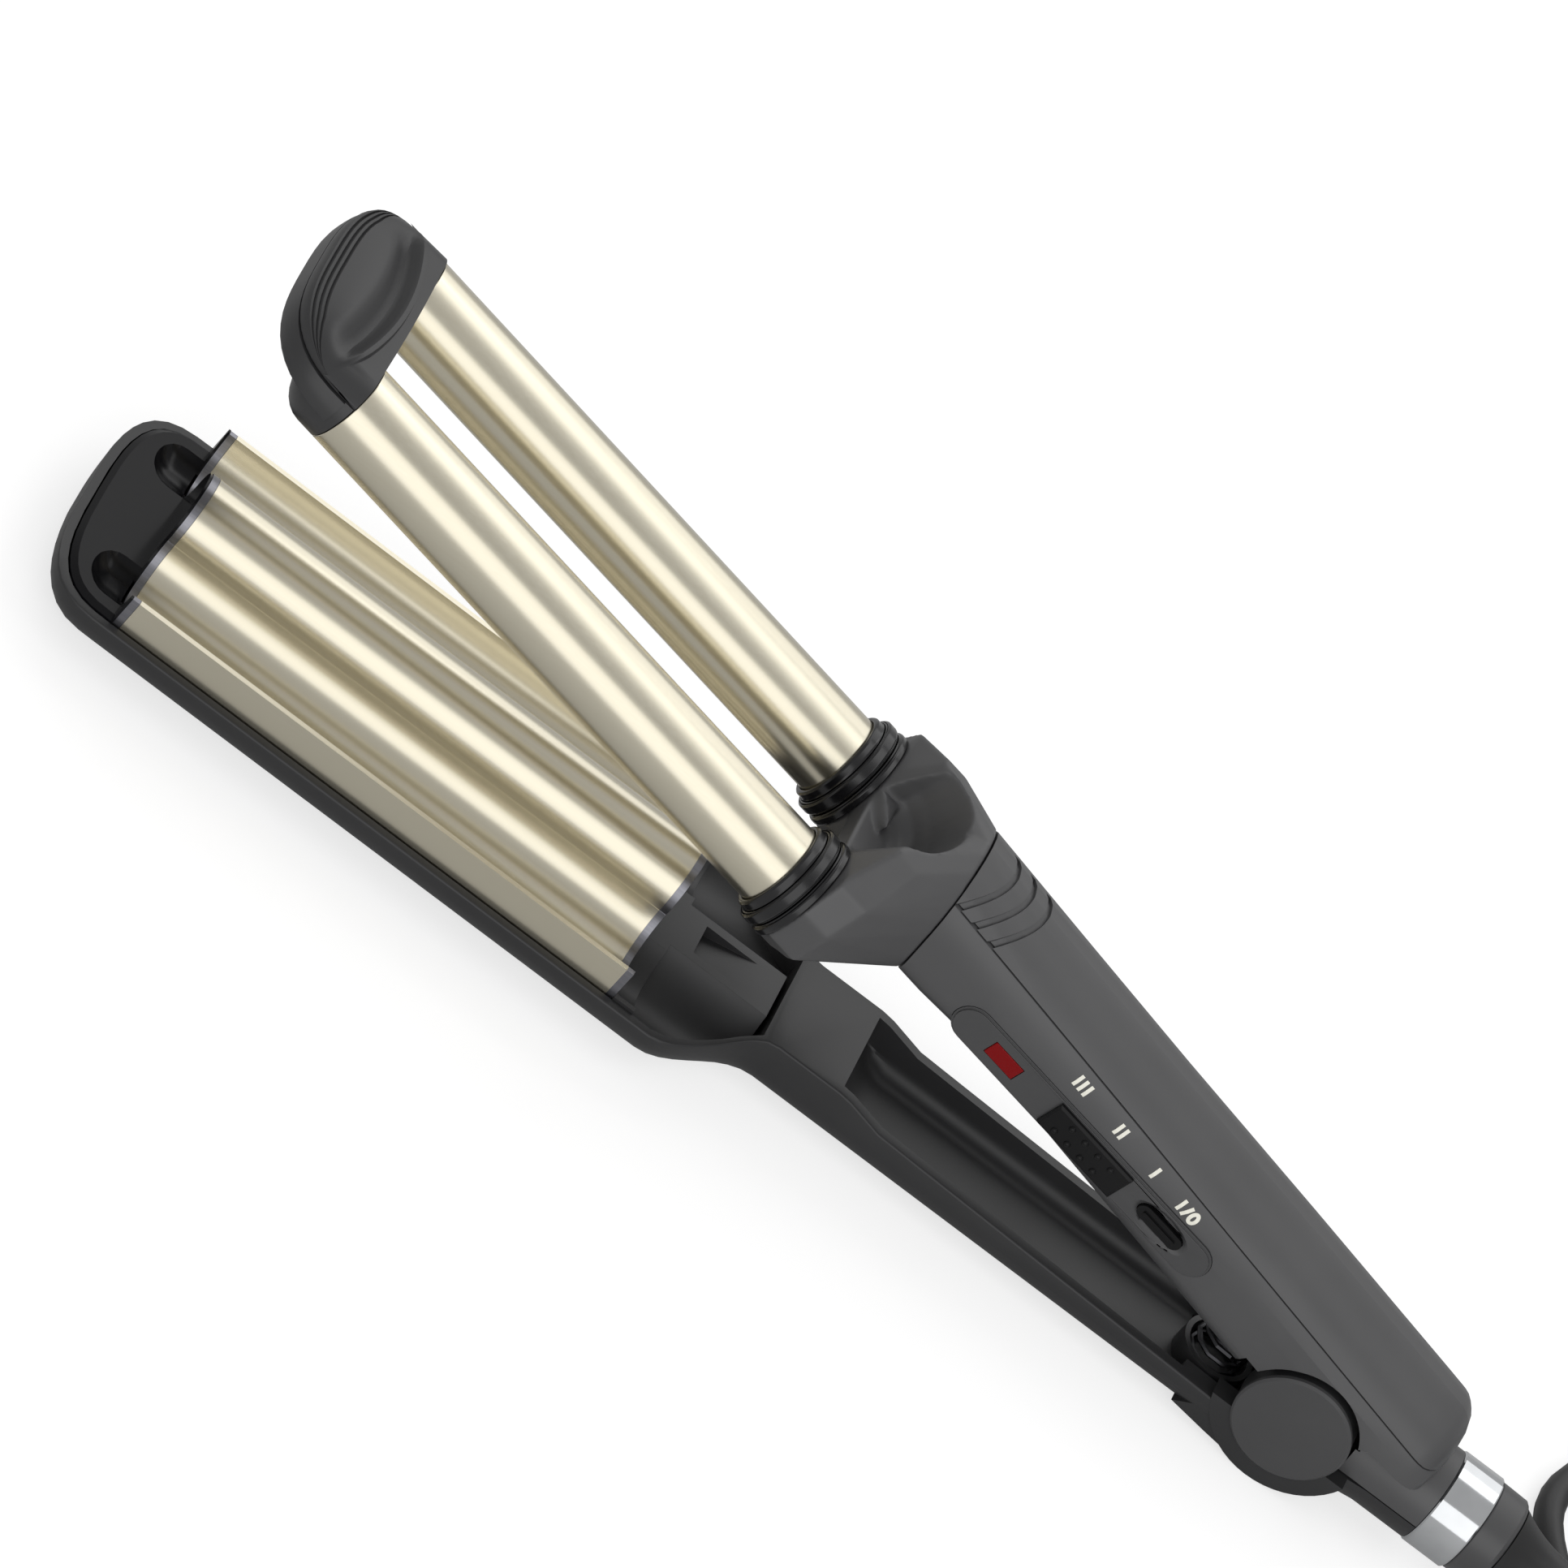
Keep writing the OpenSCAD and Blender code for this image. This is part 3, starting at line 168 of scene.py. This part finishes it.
def make_cord():
    """One unbroken round cord from the strain relief through the coil to the plug, no
    lower than the table lets it lie."""
    y = COIL_C[1] - COIL_R
    coil = coil_at(np.arange(COIL_POINTS * COIL_TURNS + 1) / COIL_POINTS)
    # Straight on from the coil's top turn, and down to the plug
    tail = [(COIL_C[0] + 0.009, y, COIL_Z + COIL_STEP - 0.0006),
            (COIL_C[0] + 0.018, y, COIL_Z + COIL_STEP - 0.0028),
            (COIL_C[0] + PLUG_X, y, PLUG_Z), (COIL_C[0] + PLUG_X + CORD_D, y, PLUG_Z)]
    line = np.vstack([ROUTE, coil, tail]) + (HINGE[0], 0, 0)
    line = rounded(line, LINE_STEPS)
    line[:, 2] = np.maximum(line[:, 2], CORD_D / 2)
    curve = bpy.data.curves.new("cord", "CURVE")
    curve.dimensions = "3D"
    curve.bevel_depth, curve.bevel_resolution = CORD_D / 2, CORD_ROUNDNESS
    curve.use_fill_caps = True
    spline = curve.splines.new("POLY")
    spline.points.add(len(line) - 1)
    spline.points.foreach_set("co", np.column_stack([line, np.ones(len(line))]).ravel())
    piece = bpy.data.objects.new("cord", curve)
    bpy.context.scene.collection.objects.link(piece)
    length = float(np.linalg.norm(np.diff(line, axis=0), axis=1).sum())
    return piece, length


cord, cord_length = make_cord()


# ---- room ----

FLOOR_HALF = 6.0
LIT_POINT = Vector((0, 0, 0.05))        # what the lamps face


def make_floor():
    """A flat square table top, white to the camera, that keeps the shadow of the object."""
    h = FLOOR_HALF
    mesh = bpy.data.meshes.new("floor")
    mesh.from_pydata([(-h, -h, 0), (h, -h, 0), (h, h, 0), (-h, h, 0)], [], [(0, 1, 2, 3)])
    floor = bpy.data.objects.new("floor", mesh)
    bpy.context.scene.collection.objects.link(floor)
    return floor


def make_light(name, direction, distance, size, power, mirrored=True):
    """A rectangular softbox in a direction from the lit point, facing it. One that isn't
    mirrored lights surfaces without showing in them."""
    data = bpy.data.lights.new(name, "AREA")
    data.shape = "RECTANGLE"
    data.size, data.size_y = size
    data.energy = power
    light = bpy.data.objects.new(name, data)
    bpy.context.scene.collection.objects.link(light)
    d = Vector(direction).normalized()
    light.location = LIT_POINT + d * distance
    light.visible_glossy = mirrored
    side = Vector((0, 0, 1)).cross(d).normalized()
    turn = Matrix((side, d.cross(side), d)).transposed()
    light.rotation_euler = turn.to_euler()


floor = make_floor()
make_light("softbox_front", (0.15, -1.0, 0.34), 1.4, (2.0, 1.1), 6.9)
make_light("strip_top", (0.42, 0.20, 0.88), 1.2, (1.8, 0.30), 2.4)
make_light("softbox_key", (0.1, -1.0, 0.55), 1.6, (1.4, 1.0), 4.5, mirrored=False)
make_light("softbox_back", (-0.1, 1.0, 0.78), 1.5, (2.2, 1.0), 5.6)


# ---- materials ----

def linear(code):
    """sRGB hex as linear RGBA, each channel through the inverse of the sRGB curve."""
    c = np.array([int(code[i:i + 2], 16) for i in (1, 3, 5)]) / 255
    c = np.where(c <= 0.04045, c / 12.92, ((c + 0.055) / 1.055) ** 2.4)
    return (*c.tolist(), 1.0)


def add(material, kind, settings=None, **inputs):
    """Adds one shader node. An input is named for its socket with _ for a space, or iN for
    its place, and takes a value or the output socket of another node."""
    node = material.node_tree.nodes.new("ShaderNode" + kind)
    for key, value in (settings or {}).items():
        setattr(node, key, value)
    for key, value in inputs.items():
        numbered = key[0] == "i" and key[1:].isdigit()
        place = int(key[1:]) if numbered else key.replace("_", " ")
        if isinstance(value, bpy.types.NodeSocket):
            material.node_tree.links.new(value, node.inputs[place])
        else:
            node.inputs[place].default_value = value
    return node


def new_material(name):
    material = bpy.data.materials.new(name)
    material.use_nodes = True
    material.node_tree.nodes.clear()
    return material


def per_mm(size_mm):
    """Texture scale at which one feature is size_mm wide."""
    return 1 / (size_mm * MM)


CLOUD_MM = 26                   # slow clouds in a moulding's tone and gloss
CLOUD_DETAIL, GRAIN_DETAIL, BRUSH_DETAIL = 3.0, 1.0, 2.0
NOISE_ROUGHNESS = 0.55
NOISE_LOW, NOISE_HIGH = 0.3, 0.7        # the stretch of a noise that spans both tones
PLASTIC_IOR = 1.52
HANDLING = 0.03                 # how far a moulding's roughness wanders
WORKING = 0.012                 # how far a metal's roughness wanders


def moulded(name, dark, light, roughness, grain_mm, grain_depth_mm, **sockets):
    """Moulded plastic, and whatever else is pressed, cast or printed: two close tones in
    slow clouds, an even grain as bump, and a roughness that wanders a little with handling.
    A real mould's grain is near 0.1 mm wide, and is drawn as coarse as it needs to be to
    show."""
    m = new_material(name)
    at = add(m, "TexCoord").outputs["Object"]
    clouds = add(m, "TexNoise", Vector=at, Scale=per_mm(CLOUD_MM), Detail=CLOUD_DETAIL,
                 Roughness=NOISE_ROUGHNESS).outputs["Fac"]
    grain = add(m, "TexNoise", Vector=at, Scale=per_mm(grain_mm), Detail=GRAIN_DETAIL,
                Roughness=NOISE_ROUGHNESS).outputs["Fac"]
    tone = add(m, "MapRange", i0=clouds, i1=NOISE_LOW, i2=NOISE_HIGH, i3=0, i4=1)
    wear = add(m, "MapRange", i0=clouds, i1=NOISE_LOW, i2=NOISE_HIGH,
               i3=roughness - HANDLING, i4=roughness + HANDLING)
    colour = add(m, "Mix", {"data_type": "RGBA"}, i0=tone.outputs[0], i6=linear(dark),
                 i7=linear(light))
    relief = add(m, "Bump", Height=grain, Distance=grain_depth_mm * MM)
    shader = add(m, "BsdfPrincipled", Base_Color=colour.outputs[2],
                 Roughness=wear.outputs[0], IOR=PLASTIC_IOR,
                 Normal=relief.outputs["Normal"], **sockets)
    add(m, "OutputMaterial", Surface=shader.outputs["BSDF"])
    return m


def metal(name, dark, light, roughness, brush=(60, 1, 1), brush_mm=0.4, depth_mm=0.0002):
    """Bare or coated metal: fine lines drawn out along x, the way the long pieces are
    worked, vary the tone a little, and the roughness and height by less than the eye
    resolves. Real lines are near 0.05 mm wide, and are drawn wider so that they show. brush
    says how many times longer a line is along each axis; all ones give a grain instead."""
    m = new_material(name)
    at = add(m, "TexCoord").outputs["Object"]
    drawn = add(m, "Mapping", Vector=at, Scale=[1 / b for b in brush]).outputs["Vector"]
    lines = add(m, "TexNoise", Vector=drawn, Scale=per_mm(brush_mm), Detail=BRUSH_DETAIL,
                Roughness=NOISE_ROUGHNESS).outputs["Fac"]
    tone = add(m, "MapRange", i0=lines, i1=NOISE_LOW, i2=NOISE_HIGH, i3=0, i4=1)
    work = add(m, "MapRange", i0=lines, i1=NOISE_LOW, i2=NOISE_HIGH,
               i3=roughness - WORKING, i4=roughness + WORKING)
    colour = add(m, "Mix", {"data_type": "RGBA"}, i0=tone.outputs[0], i6=linear(dark),
                 i7=linear(light))
    relief = add(m, "Bump", Height=lines, Distance=depth_mm * MM)
    shader = add(m, "BsdfPrincipled", Metallic=1.0, Base_Color=colour.outputs[2],
                 Roughness=work.outputs[0], Normal=relief.outputs["Normal"])
    add(m, "OutputMaterial", Surface=shader.outputs["BSDF"])
    return m


FLOOR_GLOW = 0.66               # lifts the lit paper to white where the camera sees it
GLOW_IN_GLOSS = 0.14            # share of that glow that shows in gloss
WORLD_STRENGTH = 0.48


def make_floor_material():
    """Matt paper that the lamps light, with a glow added for camera and transmission rays
    and a share of it for glossy ones."""
    m = new_material("matt_paper_sweep")
    path = add(m, "LightPath").outputs
    seen = add(m, "Math", {"operation": "MULTIPLY_ADD"}, i0=path["Is Glossy Ray"],
               i1=GLOW_IN_GLOSS, i2=path["Is Camera Ray"]).outputs[0]
    seen = add(m, "Math", {"operation": "ADD", "use_clamp": True}, i0=seen,
               i1=path["Is Transmission Ray"]).outputs[0]
    glow = add(m, "Math", {"operation": "MULTIPLY"}, i0=seen, i1=FLOOR_GLOW).outputs[0]
    paper = add(m, "BsdfDiffuse", Color=linear("#BDBDBD")).outputs[0]
    lit = add(m, "Emission", Color=(1, 1, 1, 1), Strength=glow).outputs[0]
    both = add(m, "AddShader", i0=paper, i1=lit).outputs[0]
    add(m, "OutputMaterial", Surface=both)
    return m


def make_world():
    """An even white room."""
    world = bpy.data.worlds.new("studio")
    bpy.context.scene.world = world
    world.use_nodes = True
    sky = world.node_tree.nodes["Background"].inputs
    sky["Color"].default_value = (1, 1, 1, 1)
    sky["Strength"].default_value = WORLD_STRENGTH


floor.data.materials.append(make_floor_material())
make_world()

# Satin ABS, injection moulded: charcoal, soft wide highlights
abs_satin = moulded("abs_satin_charcoal", "#4B4B4C", "#505051", 0.42, 0.5, 0.004)
# The same ABS on the cover discs, the control panel and the collar: darker, a bit smoother
abs_disc = moulded("abs_satin_disc", "#414142", "#464647", 0.38, 0.5, 0.003)
# Glass-filled PBT near the heat, with a spark-eroded mould grain: darker, slightly sandy
pbt_textured = moulded("pbt_spark_eroded_black", "#262627", "#2B2B2C", 0.44, 0.55, 0.008)
# The same on the tip cap: a shade lighter and smoother
pbt_cap = moulded("pbt_satin_cap", "#2B2B2C", "#303031", 0.40, 0.55, 0.006)
# PBT from a polished mould: deep black that mirrors softly
pbt_gloss = moulded("pbt_polished_black", "#101012", "#141416", 0.20, 0.7, 0.0015)
# The same PBT on the broad nose, whose finer texture takes off most of the mirror
pbt_nose = moulded("pbt_fine_texture_black", "#0E0E10", "#121214", 0.18, 0.7, 0.0015,
                   Specular_IOR_Level=0.16)
# Nylon, injection moulded: black keys with a dull gleam
nylon_black = moulded("nylon_moulded_black", "#0E0E0F", "#131314", 0.30, 0.5, 0.003,
                      Specular_IOR_Level=0.2)
# Flexible PVC, extruded and moulded on: matt, slightly waxy
pvc_black = moulded("pvc_flexible_black", "#141415", "#1A1A1B", 0.42, 0.6, 0.006)
# Ceramic coating on extruded aluminium: champagne, satin, long highlights along it
ceramic_champagne = metal("ceramic_champagne_on_aluminium", "#DCD5C1", "#DED8C5", 0.25,
                          (200, 1, 1), 0.35, 0.00003)
# Coated sheet steel strips that close the plate: mid grey with a dull shine
steel_coated = metal("sheet_steel_dark_coated", "#84848A", "#909096", 0.30)
# Chrome plated on ABS: a bright clear mirror
chrome = metal("chrome_on_abs", "#CDCFD1", "#D6D8DA", 0.09, (1, 1, 1), 8)
# Turned steel: bright with a fine sheen
steel_bare = metal("steel_turned", "#B7B9BB", "#C5C7C9", 0.28)
# Steel, zinc plated and blackened: dark with a metal gleam
steel_black = metal("steel_black_zinc", "#3A3A3C", "#47474A", 0.36)
# Die-cast aluminium: dull grey, a little uneven
aluminium_cast = metal("aluminium_die_cast", "#9A9DA0", "#A8ABAD", 0.44, (1, 1, 1), 1.2,
                       0.02)
# Sintered bronze: warm brown and grainy
bronze_sintered = metal("bronze_sintered", "#A87C3C", "#B88B48", 0.42, (1, 1, 1), 0.6, 0.01)
# Nickel-plated brass: pale and bright
brass_nickel = metal("brass_nickel_plated", "#C9C6BF", "#D3D0C9", 0.20)
# Fired alumina: chalky off-white
ceramic_fired = moulded("alumina_fired", "#E3DFD4", "#ECE8DE", 0.6, 0.8, 0.02)
# Pressed mica board: tan flakes
mica = moulded("mica_board_pressed", "#A8946A", "#BBA77C", 0.5, 2.5, 0.03)
# Glass epoxy under a green mask: smooth and glossy
board_green = moulded("glass_epoxy_green_mask", "#1E5733", "#24633B", 0.35, 1.5, 0.004)
# Pad-printed ink: warm white and matt
ink_white = moulded("pad_print_white", "#EFEDE0", "#F6F4E8", 0.5, 0.4, 0.002)
# Woven nylon hook tape: dark, rough and dry
tape_woven = moulded("hook_tape_nylon", "#232325", "#2E2E31", 0.8, 0.8, 0.12)
# Cast epoxy of the diode: milky and smooth
epoxy_milky = moulded("epoxy_cast_milky", "#DADCE2", "#E4E6EC", 0.15, 3, 0.001)
# Tinted acrylic, injection moulded: deep red with a little light passing through
acrylic_red = moulded("acrylic_moulded_red", "#7E0408", "#8E070C", 0.14, 3, 0.001,
                      Transmission_Weight=0.15, Specular_IOR_Level=0.12)

FINISH = {
    abs_satin: ["fork_head", "handle_base", "handle_top", "tail_cover"],
    abs_disc: ["hinge_covers", "control_panel", "tail_collar"],
    pbt_textured: ["lower_shell", "neck_liner", "spring_cup"],
    pbt_cap: ["tip_cap_base", "tip_cap_lid"],
    pbt_gloss: ["barrel_collars"],
    pbt_nose: ["nose_liner"],
    nylon_black: ["selector_switch", "power_switch", "heat_selector", "power_button"],
    pvc_black: ["cord_sleeve", "plug_body", "mains_cord", "cord_coil"],
    ceramic_champagne: ["near_barrel", "far_barrel", "wave_plate"],
    steel_coated: ["plate_end_strips"],
    chrome: ["chrome_ring"],
    steel_bare: ["thermal_fuse", "hinge_pin"],
    steel_black: ["jaw_screws", "handle_screws", "arm_spring"],
    aluminium_cast: ["heater_clamps"],
    bronze_sintered: ["hinge_bush"],
    brass_nickel: ["plug_pins"],
    ceramic_fired: ["plate_heaters", "barrel_heaters"],
    mica: ["heater_carrier"],
    board_green: ["circuit_board"],
    tape_woven: ["cord_tie"],
    epoxy_milky: ["indicator_led"],
    acrylic_red: ["indicator_lens"],
}
FINISH_OF = {node: material for material, names in FINISH.items() for node in names}
BODY_OF = {node: body for body, names in frame["record"]["behaviour"]["bodies"].items()
           for node in names}
for node, solid in nodes.items():
    solid.data.materials.clear()
    solid.data.materials.append(FINISH_OF[node])


# ---- pieces that take over a CAD node's form ----

WELD = 2e-6                     # points nearer than this are made one
SHARP_DEG = 32                  # faces that meet at more than this keep a crisp edge
EASED_DEG = 40                  # and those that meet at more than this get rounded
EASED_STEPS = 2
HEAD_CELL_MM = 0.45
HEAD_RELAX, HEAD_PASSES = 0.5, 6


def settle(piece, node, material):
    """Seats a finished piece on its node's body, with a material."""
    bpy.context.scene.collection.objects.link(piece)
    piece.data.materials.append(material)
    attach(piece, BODY_OF[node])


def welded(node):
    """The node's own form with its doubled points made one, shaded smooth up to an angle
    between faces, so that rounds read as rounds and edges stay crisp."""
    source = nodes[node].data
    co = np.empty(len(source.vertices) * 3, np.float32)
    source.vertices.foreach_get("co", co)
    corners = np.empty(len(source.polygons) * 3, np.int32)
    source.loops.foreach_get("vertex_index", corners)
    keys = np.round(co.reshape(-1, 3) / WELD).astype(np.int64)
    _, first, place = np.unique(keys, axis=0, return_index=True, return_inverse=True)
    faces = place.reshape(-1)[corners].reshape(-1, 3)
    a, b, c = faces.T
    faces = faces[(a != b) & (b != c) & (c != a)]
    name = node + "_form"
    mesh = bpy.data.meshes.new(name)
    mesh.from_pydata(co.reshape(-1, 3)[first].tolist(), [], faces.tolist())
    mesh.polygons.foreach_set("use_smooth", np.ones(len(mesh.polygons), bool))
    mesh.set_sharp_from_angle(angle=math.radians(SHARP_DEG))
    piece = bpy.data.objects.new(name, mesh)
    settle(piece, node, FINISH_OF[node])
    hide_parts(node)
    return piece


def eased(piece, width_mm):
    """Rounds the piece's edges as its mould does."""
    bevel = piece.modifiers.new("edge_round", "BEVEL")
    bevel.width = width_mm * MM
    bevel.segments = EASED_STEPS
    bevel.limit_method = "ANGLE"
    bevel.angle_limit = math.radians(EASED_DEG)
    bevel.harden_normals = True


def softened(piece, cell_mm, factor, passes):
    """Makes the piece one skin of even cells and relaxes it, each point moving part of the
    way to the mean of its neighbours, so that edges melt into a housing's wide rounds."""
    remesh = piece.modifiers.new("even_skin", "REMESH")
    remesh.mode, remesh.voxel_size, remesh.use_smooth_shade = "VOXEL", cell_mm * MM, True
    relax = piece.modifiers.new("relax", "SMOOTH")
    relax.factor, relax.iterations = factor, passes


# Edge rounds in mm of the pieces whose edges the eye meets
ROUNDED = {"hinge_covers": 0.7, "barrel_collars": 0.35, "chrome_ring": 0.3,
           "tail_collar": 0.4, "control_panel": 0.2, "heat_selector": 0.2,
           "power_button": 0.2, "indicator_lens": 0.25, "cord_sleeve": 0.3,
           "near_barrel": 0.3, "far_barrel": 0.3, "plate_end_strips": 0.25,
           "tail_cover": 0.4, "spring_cup": 0.3, "lower_shell": 0.5, "neck_liner": 0.3,
           "tip_cap_base": 0.3, "tip_cap_lid": 0.3}
forms = {}
for node in sorted(set(nodes) - {"mains_cord", "cord_coil", "fork_head"}):
    forms[node] = welded(node)
    if node in ROUNDED:
        eased(forms[node], ROUNDED[node])
forms["fork_head"] = welded("fork_head")
softened(forms["fork_head"], HEAD_CELL_MM, HEAD_RELAX, HEAD_PASSES)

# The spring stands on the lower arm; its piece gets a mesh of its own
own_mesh(forms["arm_spring"])


# ---- printed marks ----

# In mm, in the handle's own slope. The x of a mark is its middle, from the hinge axis
MARK_Z = 13.4
MARK_HIGH = 2.8
MARK_WIDE = 0.8                 # width of a stroke
MARK_GAP = 1.5                  # between the strokes of II and III
MARK_III, MARK_II, MARK_I = -84.6, -72.3, -61.2
ON_STROKE, SLASH, OFF_RING = -52.7, -50.9, -48.9
SLASH_LEAN = 0.9
RING_WIDE, RING_HIGH = 1.5, MARK_HIGH - 0.5
INK_MM = 0.06
STROKE_POINTS, RING_POINTS = 9, 24
BESIDE_Y = -25.0                # a plane beside the handle
EDGE_ON = 1e-14                 # in square metres, under which a triangle is seen edge-on
ON_EDGE = 1e-9                  # how far outside a triangle a point may lie, as a share


def stroke(x, lean=0.0):
    """A straight line through the mark's height, which leans over by lean."""
    t = np.linspace(-0.5, 0.5, STROKE_POINTS)
    return np.stack([x + lean * t, MARK_Z + MARK_HIGH * t], axis=1)


def ring(x):
    """An ellipse: half the width times the cosine and half the height times the sine of
    even angles."""
    a = np.linspace(0, 2 * np.pi, RING_POINTS, endpoint=False)
    return np.stack([x + RING_WIDE / 2 * np.cos(a), MARK_Z + RING_HIGH / 2 * np.sin(a)],
                    axis=1)


def ribbon(p, width, closed):
    """A flat band of the given width along a line in the (x, z) plane: each point is
    pushed to both sides along the mean normal of its two spans."""
    ahead = np.roll(p, -1, 0) - p
    behind = p - np.roll(p, 1, 0)
    if not closed:
        ahead[-1], behind[0] = behind[-1], ahead[0]
    d = ahead / np.linalg.norm(ahead, axis=1)[:, None] \
        + behind / np.linalg.norm(behind, axis=1)[:, None]
    side = np.stack([-d[:, 1], d[:, 0]], axis=1) / np.linalg.norm(d, axis=1)[:, None]
    return p + side * width / 2, p - side * width / 2


def twice_area(a, b, c):
    """Twice the signed area of the triangle that three points make seen along y."""
    return ((b[..., 0] - a[..., 0]) * (c[..., 2] - a[..., 2])
            - (b[..., 2] - a[..., 2]) * (c[..., 0] - a[..., 0]))


def laid_on(points, mesh):
    """The y where a line along y through each point first meets the triangle mesh: the
    areas that the point makes with two corners at a time weigh the three corners' y, and
    a triangle is met where none of these areas is negative."""
    co = np.empty(len(mesh.vertices) * 3, np.float32)
    mesh.vertices.foreach_get("co", co)
    corners = np.empty(len(mesh.polygons) * 3, np.int32)
    mesh.loops.foreach_get("vertex_index", corners)
    a, b, c = co.astype(float).reshape(-1, 3)[corners.reshape(-1, 3).T]
    seen = twice_area(a, b, c)
    broad = np.abs(seen) > EDGE_ON
    a, b, c, seen = a[broad], b[broad], c[broad], seen[broad]
    p = points[:, None]
    shares = np.stack([twice_area(p, b, c), twice_area(a, p, c), twice_area(a, b, p)])
    shares = shares / seen
    y = shares[0] * a[:, 1] + shares[1] * b[:, 1] + shares[2] * c[:, 1]
    return np.where(shares.min(axis=0) >= -ON_EDGE, y, np.inf).min(axis=1)


def make_marks():
    """Heat marks III, II, I and the I/O mark: bands laid on the handle's side, and given
    the thickness of the ink."""
    lines = [(stroke(MARK_III + MARK_GAP * i), False) for i in (-1, 0, 1)]
    lines += [(stroke(MARK_II + MARK_GAP * i), False) for i in (-0.5, 0.5)]
    lines += [(stroke(MARK_I), False), (stroke(ON_STROKE), False),
              (stroke(SLASH, SLASH_LEAN), False), (ring(OFF_RING), True)]
    bands, faces, base = [], [], 0
    for line, closed in lines:
        n = len(line)
        bands += ribbon(line, MARK_WIDE, closed)
        i = np.arange(n if closed else n - 1)
        j = (i + 1) % n
        faces.append(base + np.stack([i, n + i, n + j, j], axis=1))
        base += 2 * n
    x, z = np.vstack(bands).T
    points = on_handle(np.stack([x, np.full(len(x), BESIDE_Y), z], axis=1))
    points[:, 1] = laid_on(points, forms["handle_base"].data) - INK_MM * MM
    mesh = bpy.data.meshes.new("heat_marks")
    mesh.from_pydata(points.tolist(), [], np.vstack(faces).tolist())
    piece = bpy.data.objects.new("heat_marks", mesh)
    thickness = piece.modifiers.new("ink", "SOLIDIFY")
    thickness.thickness, thickness.offset = INK_MM * MM, -1
    settle(piece, "handle_base", ink_white)


make_marks()

cord.data.materials.append(pvc_black)
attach(cord, "lower_arm")
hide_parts("mains_cord", "cord_coil")
